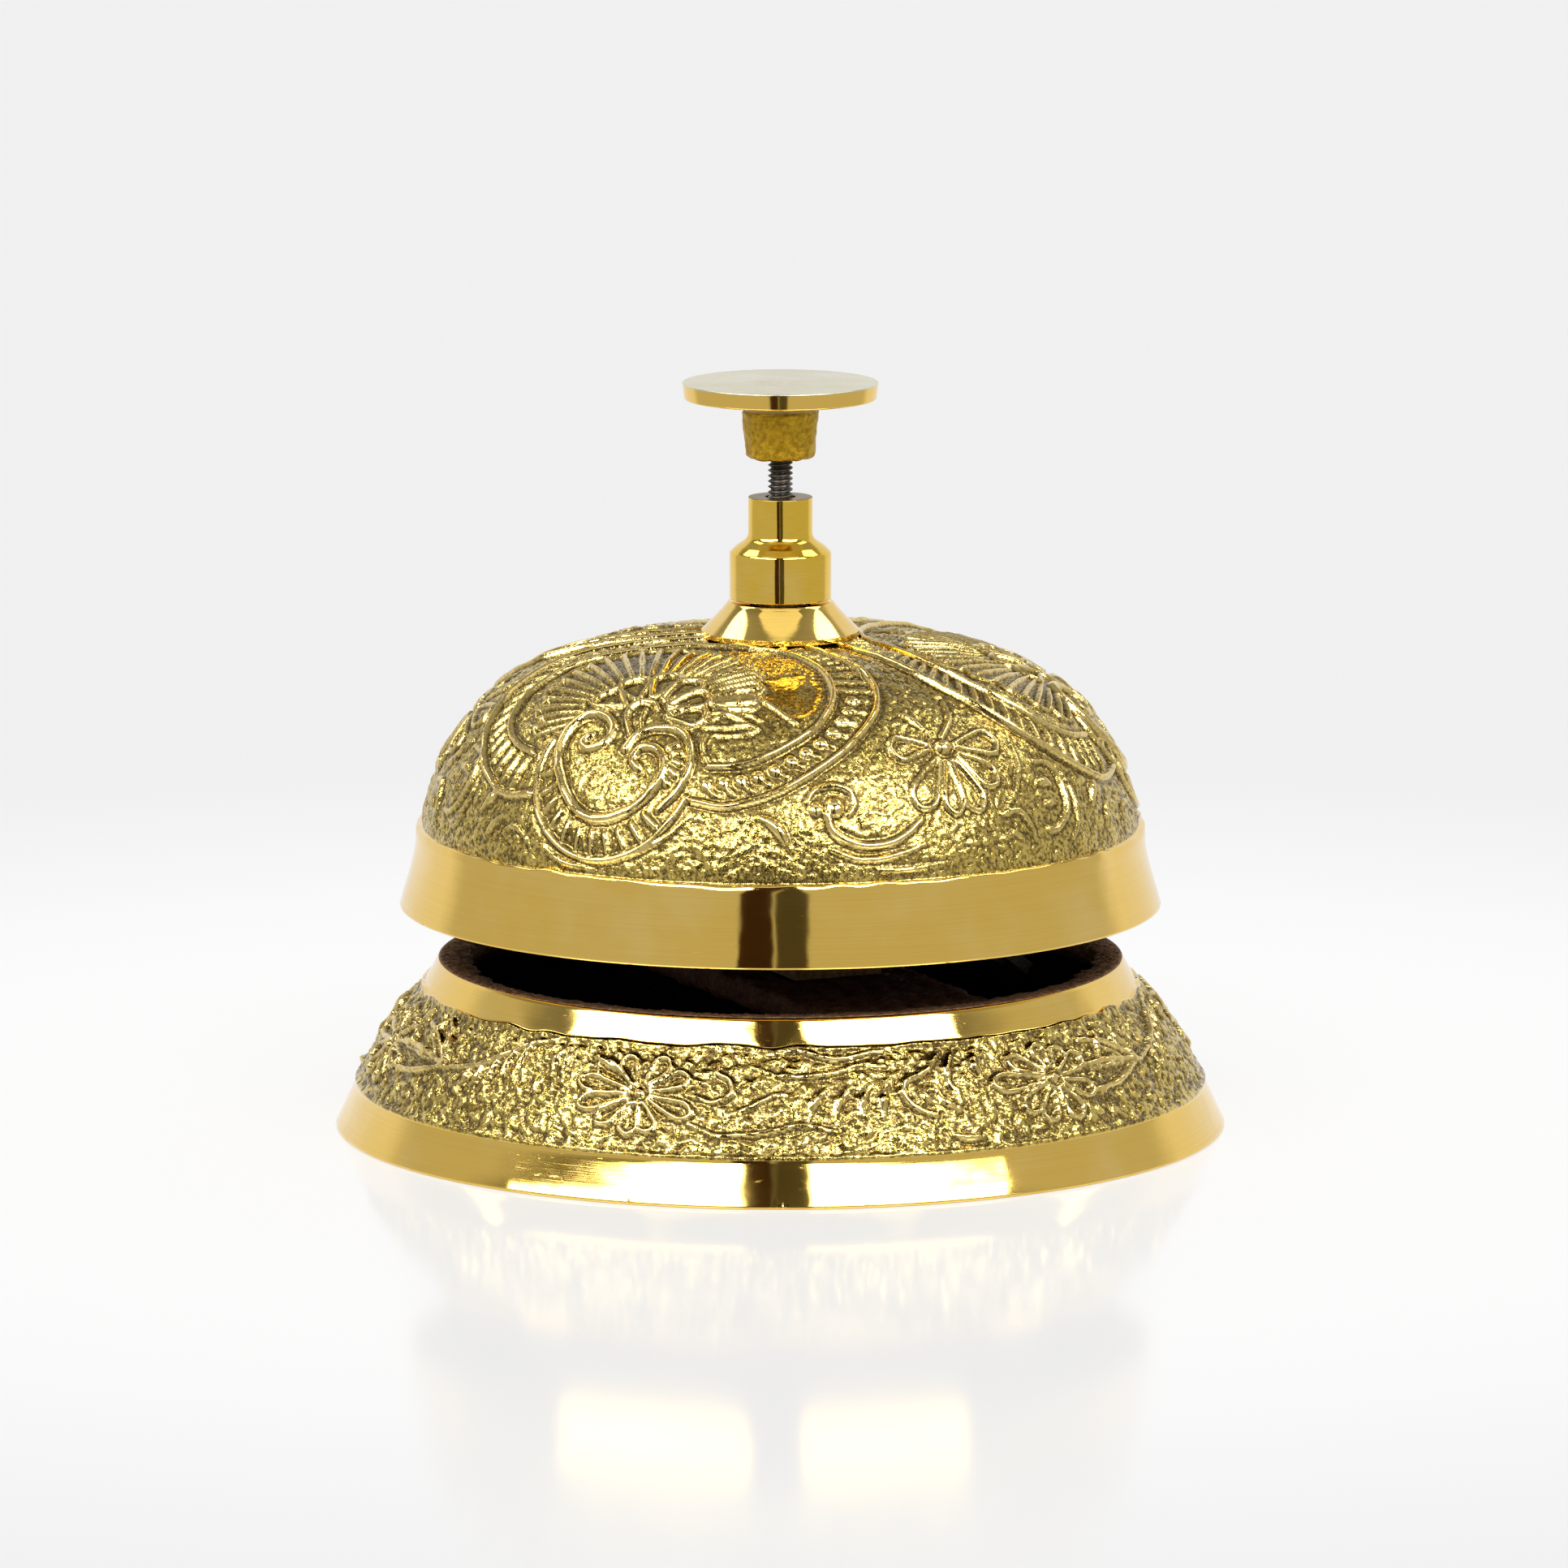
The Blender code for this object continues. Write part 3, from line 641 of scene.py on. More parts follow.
def draw_foot_tendrils(foot):
    """Wavy tendrils and small leaves round the front."""
    foot.line([(-3, 14.2), (2.5, 14.4), (8, 13.3), (13, 14), (17, 14.4)], 0.9, 0.45)
    foot.line([(-4, 12.2), (-1, 11.2), (3, 10.9), (8, 11.4), (12, 12.4), (16, 12)], 0.8, 0.42)
    foot.line([(-12.4, 7.9), (-9.4, 7.3), (-7, 8.4), (-7.4, 10.4), (-9.2, 11.4), (-9.4, 13.4)], 0.9,
        0.45)
    foot.line([(-7, 5.6), (-3.6, 7), (-0.6, 8.4), (1.6, 8.4)], 0.9, 0.45)
    foot.line([(-13, 4.4), (-8.6, 3), (-3, 3.2), (2.6, 4.2), (8, 3.4)], 0.85, 0.42)
    for place, lean in ((3.6, 3.6), (7.2, 3.2), (10.8, 2.2), (14.2, 1.2)):
        foot.leaf([(place, 5), (place + 0.35 * lean, 7.4), (place + lean, 9.6)], 1.3)
    foot.leaf([(-30, 12.8), (-27, 11.9), (-24, 10.4)], 1.1)
    foot.leaf([(54.6, 9.6), (55.4, 11.6), (56.4, 13.4)], 1.3)


def foot_canvas(turn_length):
    """A third of the foot's cone, laid flat."""
    foot = FootMap(turn_length)
    draw_foot_flowers(foot)
    draw_foot_stem(foot)
    draw_foot_palmette(foot, -57)
    draw_foot_palmette(foot, 63)
    draw_foot_hooks(foot)
    draw_foot_tendrils(foot)
    return foot.canvas


# ---------------------------------------------------------------- materials

class Nodes:
    """Short forms for building the nodes of a material or of the world."""

    def __init__(self, owner):
        owner.use_nodes = True
        self.owner = owner
        self.tree = owner.node_tree

    def add(self, kind, **settings):
        made = self.tree.nodes.new(kind)
        for key, value in settings.items():
            setattr(made, key, value)
        return made

    def plug(self, source, socket):
        if isinstance(source, bpy.types.NodeSocket):
            self.tree.links.new(source, socket)
        else:
            socket.default_value = source

    def math(self, operation, a, b=0.0):
        made = self.add("ShaderNodeMath", operation=operation)
        self.plug(a, made.inputs[0])
        self.plug(b, made.inputs[1])
        return made.outputs[0]

    def times(self, a, b):
        return self.math("MULTIPLY", a, b)

    def plus(self, a, b):
        return self.math("ADD", a, b)

    def spread(self, value, low, high, to_low=0.0, to_high=1.0):
        """Map a range smoothly to another."""
        made = self.add("ShaderNodeMapRange", interpolation_type="SMOOTHSTEP")
        for source, socket in zip((value, low, high, to_low, to_high), made.inputs):
            self.plug(source, socket)
        return made.outputs[0]

    def mix(self, share, a, b):
        made = self.add("ShaderNodeMix", data_type="RGBA")
        self.plug(share, made.inputs["Factor"])
        self.plug(a, made.inputs[6])
        self.plug(b, made.inputs[7])
        return made.outputs[2]

    def place(self):
        """The surface point, in millimetres."""
        scale = self.add("ShaderNodeVectorMath", operation="SCALE")
        self.plug(self.add("ShaderNodeTexCoord").outputs["Object"], scale.inputs[0])
        scale.inputs["Scale"].default_value = 1 / MM
        return scale.outputs[0]

    def parts(self, vector):
        split = self.add("ShaderNodeSeparateXYZ")
        self.plug(vector, split.inputs[0])
        return split.outputs

    def radius(self, x, y):
        """How far a place is from the axis."""
        return self.math("SQRT", self.plus(self.times(x, x), self.times(y, y)))

    def turning(self, across, round_rate):
        """Coordinates that stretch a pattern round the axis, as a lathe's marks are."""
        x, y, z = self.parts(self.place())
        angle = self.math("ARCTAN2", x, self.times(y, -1.0))
        join = self.add("ShaderNodeCombineXYZ")
        self.plug(self.times(angle, round_rate), join.inputs[0])
        self.plug(self.times(self.radius(x, y), across), join.inputs[1])
        self.plug(self.times(z, across), join.inputs[2])
        return join.outputs[0]

    def noise(self, vector, scale, detail=2.0, roughness=0.5):
        made = self.add("ShaderNodeTexNoise")
        self.plug(vector, made.inputs["Vector"])
        made.inputs["Scale"].default_value = scale
        made.inputs["Detail"].default_value = detail
        made.inputs["Roughness"].default_value = roughness
        return made.outputs["Fac"]

    def attribute(self, name):
        return self.add("ShaderNodeAttribute", attribute_name=name).outputs["Fac"]

    def bump(self, height, strength, distance, normal=None):
        made = self.add("ShaderNodeBump")
        made.inputs["Strength"].default_value = strength
        made.inputs["Distance"].default_value = distance * MM
        self.plug(height, made.inputs["Height"])
        if normal is not None:
            self.plug(normal, made.inputs["Normal"])
        return made.outputs["Normal"]

    def finish(self, colour, roughness, normal=None, metallic=1.0, specular=0.5):
        shader = self.tree.nodes["Principled BSDF"]
        self.plug(colour, shader.inputs["Base Color"])
        self.plug(roughness, shader.inputs["Roughness"])
        self.plug(metallic, shader.inputs["Metallic"])
        self.plug(specular, shader.inputs["Specular IOR Level"])
        if normal is not None:
            self.plug(normal, shader.inputs["Normal"])
        return self.owner


def new_material(name):
    return Nodes(bpy.data.materials.new(name))


def scaled(colour, share):
    return tuple(share * part for part in colour[:3]) + (1,)


BRASS = (0.86, 0.575, 0.125, 1)
BRIGHT_BRASS = (0.90, 0.63, 0.19, 1)
# painted sheen: the pale colour of the button's top face
PALE_SHEEN_BRASS = (0.68, 0.64, 0.46, 1)
DEEP_BRASS = (0.84, 0.55, 0.06, 1)
CAST_BRASS = (0.72, 0.535, 0.145, 1)
OLIVE = (0.31, 0.21, 0.036, 1)
# patina and painted shade: the dark brown that the embossed hollows are mixed towards
PATINA_AND_SHADE_TONE = (0.10, 0.066, 0.026, 1)
WORN_BRASS = (0.86, 0.65, 0.26, 1)
# painted shade: the insides' brown oxide, darkened to near black for the shade inside the bell
INNER_OXIDE_AND_SHADE = (0.010, 0.005, 0.003, 1)
DULL_BROWN = (0.22, 0.15, 0.07, 1)
# painted light: a pale grey for the button's dull underside
UNDERSIDE_PAINTED_LIGHT = (0.66, 0.64, 0.54, 1)
SPECK = (0.30, 0.17, 0.06, 1)
STEEL = (0.30, 0.285, 0.26, 1)


def polished_brass(name, base=BRASS, dull_top=None):
    """Buffed brass: nearly a mirror, with faint lathe lines, gentle waves and a few scratches.

    A face at the height dull_top is left dull and brown.
    """
    made = new_material(name)
    place = made.place()
    lines = made.noise(made.turning(9.0, 2.2), 1.0, 3.0, 0.6)
    cloud = made.noise(place, 0.09, 3.0, 0.55)
    waves = made.noise(place, 0.22, 1.0)
    scratch = made.spread(made.noise(made.turning(3.0, 34.0), 1.0, 1.0), 0.70, 0.76)
    colour = made.mix(made.spread(cloud, 0.4, 0.8), base, BRIGHT_BRASS)
    colour = made.mix(made.times(made.spread(lines, 0.3, 0.75), 0.12), colour, OLIVE)
    rough = made.plus(made.spread(cloud, 0.35, 0.7, 0.045, 0.08), made.times(scratch, 0.07))
    if dull_top:
        dull = made.spread(made.parts(place)[2], dull_top - 0.10, dull_top - 0.03)
        colour = made.mix(dull, colour, DULL_BROWN)
        rough = made.plus(rough, made.times(dull, 0.3))
    height = made.math("SUBTRACT", lines, made.times(scratch, 0.5))
    normal = made.bump(height, 0.3, 0.006)
    return made.finish(colour, rough, made.bump(waves, 0.5, 0.06, normal))


def cast_brass(name, coarse=1.0):
    """Embossed casting: a bumpy, glinting skin with olive patches, and in the hollows dark patina
    with painted shade.

    A larger coarse makes the skin's grains larger.
    """
    made = new_material(name)
    raised = made.attribute("raised")
    hollow = made.attribute("hollow")
    place = made.place()
    sand = made.noise(place, 2.3 / coarse, 2.0, 0.5)
    fine = made.noise(place, 3.8 / coarse, 1.0, 0.5)
    pits = made.noise(place, 3.4, 2.0, 0.6)
    colour = made.mix(made.spread(sand, 0.36, 0.56), OLIVE, CAST_BRASS)
    colour = made.mix(made.times(made.spread(raised, 0.2, 0.8), 0.5), colour, WORN_BRASS)
    # painted shade: the hollow share darkens the colour, partly as patina and partly as shade in
    # the recesses round the relief
    patina_and_shade = made.times(made.spread(hollow, 0.1, 0.8), made.spread(pits, 0.36, 0.6, 0.35, 1.0))
    colour = made.mix(patina_and_shade, colour, PATINA_AND_SHADE_TONE)
    rough = made.plus(made.spread(raised, 0.0, 0.8, 0.09, 0.065), made.times(patina_and_shade, 0.25))
    height = made.plus(made.times(sand, 0.5), made.times(fine, 0.5))
    smooth = made.math("MAXIMUM", raised, made.times(made.attribute("calm"), 0.8))
    height = made.times(height, made.spread(smooth, 0.1, 0.9, 1.0, 0.3))
    return made.finish(colour, rough, made.bump(height, 0.8, 0.13 * coarse))


def raw_casting(name, colour=INNER_OXIDE_AND_SHADE, speck=SPECK, metallic=0.0, specular=0.1):
    """Unpolished casting, browned, with bright specks. By default it is near black: brown oxide
    darkened as painted shade for the insides.
    """
    made = new_material(name)
    place = made.place()
    lumps = made.noise(place, 1.1, 5.0, 0.6)
    specks = made.spread(made.noise(place, 3.2, 3.0, 0.6), 0.60, 0.70)
    tone = made.mix(made.spread(lumps, 0.35, 0.7), colour, scaled(colour, 2.2))
    tone = made.mix(made.times(specks, 0.8), tone, speck)
    rough = made.spread(lumps, 0.3, 0.7, 0.5, 0.75)
    return made.finish(tone, rough, made.bump(lumps, 0.9, 0.5), metallic, specular)


def steel(name, colour=STEEL, roughness=0.34):
    """Plated steel with light wear and dull patches."""
    made = new_material(name)
    place = made.place()
    patches = made.noise(place, 0.5, 4.0, 0.6)
    fine = made.noise(place, 6.0, 2.0, 0.5)
    tone = made.mix(made.spread(patches, 0.35, 0.68), colour, scaled(colour, 0.45))
    rough = made.spread(patches, 0.3, 0.7, roughness - 0.08, roughness + 0.14)
    return made.finish(tone, rough, made.bump(fine, 0.35, 0.03))


def fibre(name):
    """Pressed red-brown fibre."""
    made = new_material(name)
    strands = made.noise(made.place(), 3.0, 5.0, 0.7)
    dark, light = (0.13, 0.05, 0.03, 1), (0.24, 0.11, 0.06, 1)
    tone = made.mix(made.spread(strands, 0.3, 0.7), dark, light)
    rough = made.spread(strands, 0.3, 0.7, 0.75, 0.9)
    return made.finish(tone, rough, made.bump(strands, 0.6, 0.1), 0.0)


# ---------------------------------------------------------------- gong

def dome_curve(count=6000):
    """Dense radius, height and arc length from the crown down to the skirt."""
    angle = np.linspace(math.pi / 2, math.asin((SKIRT_TOP_Z - DOME_Z) / DOME_RISE), count)
    radius = DOME_R * np.clip(np.cos(angle), 0, 1) ** SIDE_EXPONENT
    z = DOME_Z + DOME_RISE * np.sin(angle)
    arc = np.concatenate([[0], np.cumsum(np.hypot(np.diff(radius), np.diff(z)))])
    return radius, z, arc


def row_normals(radius, z):
    """Outward normals, as radial and upward parts, of a profile that runs down outside."""
    along_r, along_z = np.gradient(radius), np.gradient(z)
    length = np.hypot(along_r, along_z)
    return -along_z / length, along_r / length


def smooth_noise(columns, waves, seed):
    """A wavy value round the axis, spread about zero with deviation one."""
    random = np.random.default_rng(seed)
    angles = np.arange(columns) * 2 * math.pi / columns
    total = np.zeros(columns)
    for wave in range(3, waves):
        size = random.normal()
        start = random.uniform(0, 2 * math.pi)
        total += size * np.cos(wave * angles + start) / math.sqrt(wave)
    return total / total.std()


def dome_relief(arc, angles):
    """Heights at each arc length and direction, and the raised, hollow and calm shares. The hollow
    share is patina with painted shade.

    The skin is smoother where it's calm.
    """
    canvas = dome_canvas()
    lines, pads, crowd = canvas.finished()
    busy = np.clip(np.maximum(blurred(lines, 8.0) / 0.22, -pads / 0.2), 0, 1)
    x, y = arc[:, None] * np.cos(angles), arc[:, None] * np.sin(angles)
    ridge, pad, shade, calm = np.zeros((4,) + x.shape)
    for turn in np.radians(DOME_TURNS):
        turned_x = x * math.cos(turn) - y * math.sin(turn)
        turned_y = x * math.sin(turn) + y * math.cos(turn)
        ridge = np.maximum(ridge, look_up(lines, canvas, turned_x, turned_y))
        shade = np.maximum(shade, look_up(crowd, canvas, turned_x, turned_y))
        calm = np.maximum(calm, look_up(busy, canvas, turned_x, turned_y))
        here = look_up(pads, canvas, turned_x, turned_y)
        pad = np.where(np.abs(here) > np.abs(pad), here, pad)
    sand = look_up(grain(lines.shape, 1.5, 11), canvas, x, y)
    waves = look_up(grain(lines.shape, 9.0, 12), canvas, x, y)
    lumps = look_up(grain(lines.shape, 28.0, 13), canvas, x, y)
    raised = np.clip(ridge / 0.55, 0, 1)
    quiet = (1 - 0.6 * raised) * (1 - 0.75 * calm)
    height = GROUND + ridge + pad - DOME_CARVE * shade
    height = height + DOME_SAND * sand * quiet + DOME_WAVES * waves + DOME_LUMPS * lumps
    # painted shade: hollow is high round the lines, in sunken pads and in the grain's low spots,
    # and darkens the colour there beside the patina
    hollow = np.clip(shade / 0.09 - pad / 0.9, 0, 1) * (1 - raised)
    hollow = hollow + np.clip(0.2 - 0.6 * sand, 0, 0.9) * quiet
    return height, {"raised": raised, "hollow": np.clip(hollow, 0, 1), "calm": calm}


def inner_profile(outer_r, outer_z, wall, step):
    """Points of the wall's inside, from the bottom up, about a step apart."""
    normal_r, normal_z = row_normals(outer_r, outer_z)
    line = list(zip(outer_r - normal_r * wall, outer_z - normal_z * wall))
    chosen = [line[-1]]
    for point in reversed(line):
        if math.dist(point, chosen[-1]) > step:
            chosen.append(point)
    return chosen


def gong_dome(angles):
    """The embossed dome from the crown down: its outline, its points and its shares."""
    radius, z, arc = dome_curve()
    first = np.interp(GONG_HOLE_R, radius, arc)
    rows = np.linspace(first, arc[-1] - 0.05, math.ceil((arc[-1] - first) / FINE))
    outline = np.stack([np.interp(rows, arc, radius), np.interp(rows, arc, z)], axis=-1)
    normal_r, normal_z = row_normals(outline[:, 0], outline[:, 1])
    height, shares = dome_relief(rows, angles)
    edge_length = 1.2
    edge = np.clip((rows - rows[-1] + edge_length) / edge_length, 0, 1)[:, None]
    height = height * (1 - edge) + edge * (GROUND - 0.1 + 0.04 * height)
    crown_length, crown_fade = 10.0, 2.0       # the plain part under the collar
    crown = np.clip((crown_length - rows) / crown_fade, 0, 1)[:, None]
    height = height * (1 - crown) + crown * GROUND * 0.2
    shares["raised"] = shares["raised"] * (1 - crown)
    radius = outline[:, :1] + normal_r[:, None] * height
    z = outline[:, 1:] + normal_z[:, None] * height
    return outline, round_points(radius, z, angles), shares


def gong_skirt(angles):
    """The polished skirt with a ragged top edge and a nicked rim: its outline and its points."""
    outline = np.array(refine(SKIRT, 1.0))
    ragged = 0.12 * smooth_noise(COLUMNS, 60, 21)
    nicks = np.clip(smooth_noise(COLUMNS, 420, 23) - 1.5, 0, 1.2) * 0.22
    top_share = np.clip((outline[:, 1:] - SKIRT_TOP_Z + 0.9) / 0.9, 0, 1)
    low_share = np.clip((RIM_Z + 0.5 - outline[:, 1:]) / 0.5, 0, 1)
    radius = outline[:, :1] - nicks * low_share * 0.5
    z = outline[:, 1:] + ragged * top_share + nicks * low_share
    return outline, round_points(radius, z, angles)


def gong_inside(outline, angles):
    """The plain inside, from the rim up."""
    inside = inner_profile(outline[:, 0], outline[:, 1], GONG_WALL, 1.6)
    inner_r = RIM_R - GONG_WALL
    under = [(RIM_R - 0.25, RIM_Z + 0.01), (inner_r + 0.3, RIM_Z + 0.01), (inner_r, RIM_Z + 0.4)]
    inside = np.array(under + [point for point in inside if point[1] > RIM_Z + 0.8])
    return round_points(inside[:, :1], inside[:, 1:], angles)


def make_gong():
    """The embossed dome, its skirt and its inside, in one closed mesh."""
    angles = round_angles(COLUMNS)
    dome_outline, dome, shares = gong_dome(angles)
    skirt_outline, skirt = gong_skirt(angles)
    inside = gong_inside(np.concatenate([dome_outline, skirt_outline]), angles)
    mesh = quad_mesh("embossed_gong", np.concatenate([dome, skirt, inside]), close_rows=True)
    set_shares(mesh, shares, 0, len(skirt) + len(inside))
    slots = np.zeros(len(dome) + len(skirt) + len(inside), np.int32)
    slots[len(dome) - 1:] = 1
    slots[len(dome) + len(skirt) + 1:] = 2
    mesh.polygons.foreach_set("material_index", np.repeat(slots, COLUMNS))
    # the inside's near-black colour is painted shade over brown oxide
    finishes = [
        cast_brass("gong_embossed"), polished_brass("gong_skirt"), raw_casting("gong_inside"),
    ]
    gong = link("embossed_gong", mesh, finishes)
    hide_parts("gong")
    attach(gong, "stand")


# ---------------------------------------------------------------- foot

def cone_relief(slope, angles):
    """Heights at each distance up the cone and direction, and the raised and hollow shares. The
    hollow share is patina with painted shade.
    """
    turn_length = 2 * math.pi * CONE_MEAN_R / CONE_REPEATS
    canvas = foot_canvas(turn_length)
    lines, _, crowd = canvas.finished()
    third = 360 / CONE_REPEATS
    turn = (np.degrees(angles) + 90 + third / 2) % third - third / 2
    x = np.broadcast_to(turn / third * turn_length, (len(slope), len(angles)))
    y = np.broadcast_to(slope[:, None], x.shape)
    ridge = look_up(lines, canvas, x, y)
    shade = look_up(crowd, canvas, x, y)
    around = np.broadcast_to(np.degrees(angles) + 90, x.shape) / 360 * turn_length * CONE_REPEATS
    low, high = (-0.1 * turn_length, CONE_MAP_LOW), (3.1 * turn_length, CONE_MAP_HIGH)
    whole = Canvas(low, high)
    sand = look_up(grain(whole.lines.shape, 2.2, 31), whole, around, y)
    waves = look_up(grain(whole.lines.shape, 7.0, 32), whole, around, y)
    raised = np.clip(ridge / 0.5, 0, 1)
    height = CONE_GROUND + ridge - CONE_CARVE * shade
    height = height + CONE_SAND * sand * (1 - 0.7 * raised) + CONE_WAVES * waves
    # painted shade: hollow is high round the lines and in the grain's low spots, and darkens the
    # colour there beside the patina
    hollow = (np.clip(shade / 0.1, 0, 1) + np.clip(0.35 - 0.8 * sand, 0, 1)) * (1 - raised)
    return height, {"raised": raised, "hollow": np.clip(hollow, 0, 1)}


def foot_lip(angles):
    """The rough top lip, from its ragged inner edge outwards."""
    rows = 9
    inner = LIP_INNER_R - 0.5 + 0.35 * smooth_noise(COLUMNS, 90, 41)
    inner = inner + 0.12 * smooth_noise(COLUMNS, 380, 42)
    share = np.linspace(0, 1, rows)[:, None]
    rough = 0.06 * np.random.default_rng(43).standard_normal((rows, COLUMNS))
    rough[[0, -1]] = 0
    radius = inner + (LIP_OUTER_R - 0.25 - inner) * share
    z = LIP_Z - 0.25 * (1 - share) ** 3 + rough - 0.12 + 0.12 * share
    return round_points(radius, z, angles)


def foot_upper_band(angles, wavy):
    """The polished band under the lip, with a wavy lower edge."""
    band = [(LIP_OUTER_R - 0.05, LIP_Z - 0.12), (44.05, 21.2), (45.5, UPPER_BAND_BOTTOM + 0.25)]
    band = np.array(refine(band, 0.6) + [(45.62, UPPER_BAND_BOTTOM)])
    shift = np.clip((UPPER_BAND_BOTTOM + 1.5 - band[:, 1:]) / 1.5, 0, 1) * wavy
    radius = band[:, :1] + DOWN_CONE[0] * shift
    z = band[:, 1:] + DOWN_CONE[1] * shift
    return round_points(radius, z, angles)


def foot_cone(angles, wavy):
    """The embossed cone from its wavy top down: its points and its shares."""
    share = np.linspace(0, 1, math.ceil(CONE_LENGTH / FINE))[:, None]
    cone = CONE_TOP + (CONE_FOOT - CONE_TOP) * share
    bulge = CONE_BULGE * np.sin(share * math.pi) + CONE_RISE
    height, shares = cone_relief((1 - share[:, 0]) * CONE_LENGTH, angles)
    edge = np.clip(np.minimum(share, 1 - share) * CONE_LENGTH / 0.7, 0, 1)
    height = height * edge + bulge
    shift = np.clip(1 - share * CONE_LENGTH / 2.5, 0, 1) * wavy
    radius = cone[:, :1] - DOWN_CONE[1] * height + DOWN_CONE[0] * shift
    z = cone[:, 1:] + DOWN_CONE[0] * height + DOWN_CONE[1] * shift
    return round_points(radius, z, angles), shares


def foot_lower_band(angles):
    """The polished band at the bottom, with a nicked lower edge."""
    nicks = np.clip(smooth_noise(COLUMNS, 300, 45) - 1.7, 0, 1.0) * 0.35
    band = [
        (54.45, LOWER_BAND_TOP), (54.6, 5.3), (55.1, 4.2), (55.75, 2.8), (56.35, 1.5),
        (56.87, 0.45),
    ]
    band = np.array(refine(band + [(BASE_R, 0.2)], 0.8))
    nicks = nicks * np.clip((0.9 - band[:, 1:]) / 0.7, 0, 1)
    return round_points(band[:, :1] - nicks, band[:, 1:] + 0.3 * nicks, angles)


def foot_inside(angles):
    """The underside and the hollow inside, from the outer edge up to the lip."""
    inside = [
        (BASE_R - 0.3, 0.0), (BASE_R - BASE_WALL, 0.0), (54.5 - BASE_WALL, LOWER_BAND_TOP),
        (45.7 - BASE_WALL, 17.4), (LIP_INNER_R, 19.3), (LIP_INNER_R - 0.2, 21.0),
    ]
    inside = np.array(refine(inside, 1.4))
    return round_points(inside[:, :1], inside[:, 1:], angles)


def make_foot():
    """The foot ring, from the lip's inner edge down outside, and back up its hollow inside."""
    angles = round_angles(COLUMNS)
    lip = foot_lip(angles)
    wavy = 0.15 * smooth_noise(COLUMNS, 60, 46)
    upper_band = foot_upper_band(angles, wavy)
    cone, shares = foot_cone(angles, wavy)
    lower_band = foot_lower_band(angles)
    inside = foot_inside(angles)
    parts = [lip, upper_band, cone, lower_band, inside]
    mesh = quad_mesh("embossed_foot", np.concatenate(parts), close_rows=True)
    set_shares(mesh, shares, len(lip) + len(upper_band), len(lower_band) + len(inside))
    slots = np.repeat([3, 1, 0, 1, 2], [len(part) for part in parts]).astype(np.int32)
    lip_rows = 6           # the inside's last rows belong to the lip
    slots[-lip_rows:] = 3
    mesh.polygons.foreach_set("material_index", np.repeat(slots, COLUMNS))
    # the inside's near-black colour is painted shade over brown oxide
    finishes = [
        cast_brass("foot_embossed", 1.7), polished_brass("foot_bands"), raw_casting("foot_inside"),
        raw_casting("foot_lip", (0.20, 0.105, 0.05, 1), (0.75, 0.50, 0.22, 1), 0.6, 0.3),
    ]
    foot = link("embossed_foot", mesh, finishes)
    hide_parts("base_ring")
    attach(foot, "stand")


def make_bridge():
    """The rough bar that carries the stirrup, drilled for the rod and two screws."""
    top = LIP_Z - 0.4
    build = bmesh.new()
    bmesh.ops.create_cube(build, size=1.0)
    reach = 2 * (LIP_INNER_R + 0.6)
    bmesh.ops.scale(build, vec=(BRIDGE_WIDTH, reach, BRIDGE_THICKNESS), verts=build.verts)
    bmesh.ops.bevel(build, geom=build.edges[:], offset=0.9, segments=3, affect="EDGES", profile=0.5)
    bmesh.ops.translate(build, vec=(0, 0, top - BRIDGE_THICKNESS / 2), verts=build.verts)
    bmesh.ops.scale(build, vec=(MM, MM, MM), verts=build.verts)
    mesh = bpy.data.meshes.new("bridge_bar")
    build.to_mesh(mesh)
    build.free()
    bar = link("bridge_bar", mesh)
    drills = [("rod", 0, 2.3), ("front", -BRIDGE_SCREW_Y, 1.8), ("rear", BRIDGE_SCREW_Y, 1.8)]
    for name, y, radius in drills:
        drill = turned("drill_" + name, [(radius, top + 3), (radius, top - 9)], None, 32)
        drill.location.y = y * MM
        hole = bar.modifiers.new(name, "BOOLEAN")
        hole.operation = "DIFFERENCE"
        hole.solver = "EXACT"
        hole.object = drill
    bake_modifiers(bar)
    for drill in [item for item in bpy.data.objects if item.name.startswith("drill_")]:
        bpy.data.objects.remove(drill, do_unlink=True)
    remesh(bar, 0.6)
    roughen(bar, 0.16, 51)
    bar.data.materials.clear()
    bar.data.materials.append(raw_casting("bridge_casting", (0.07, 0.030, 0.016, 1)))
    bar.rotation_euler.z = BRIDGE_ANGLE
    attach(bar, "stand")


def bake_modifiers(piece):
    """Turn the modifiers' result into the piece's own mesh."""
    bpy.context.view_layer.update()
    evaluated = piece.evaluated_get(bpy.context.evaluated_depsgraph_get())
    mesh = bpy.data.meshes.new_from_object(evaluated)
    piece.modifiers.clear()
    piece.data = mesh


def remesh(piece, step):
    """Even voxel faces, so that the surface can be roughened."""
    change = piece.modifiers.new("even", "REMESH")
    change.mode = "VOXEL"
    change.voxel_size = step * MM
    change.use_smooth_shade = True
    bake_modifiers(piece)


def roughen(piece, amount, seed):
    """Move each point along its normal by a smooth random amount."""
    mesh = piece.data
    count = len(mesh.vertices)
    places, normals = np.zeros(count * 3), np.zeros(count * 3)
    mesh.vertices.foreach_get("co", places)
    mesh.vertices.foreach_get("normal", normals)
    places, normals = places.reshape(-1, 3), normals.reshape(-1, 3)
    random = np.random.default_rng(seed)
    shift = np.zeros(count)
    for size in (0.9, 1.6, 3.2):
        for _ in range(14):
            wave = random.normal(size=3)
            wave *= 2 * math.pi / (size * MM * np.linalg.norm(wave))
            shift += np.cos(places @ wave + random.uniform(0, 2 * math.pi)) * size ** 0.5
    shift *= amount * MM / shift.std()
    mesh.vertices.foreach_set("co", (places + normals * shift[:, None]).ravel())
    mesh.update()
    mesh.shade_smooth()


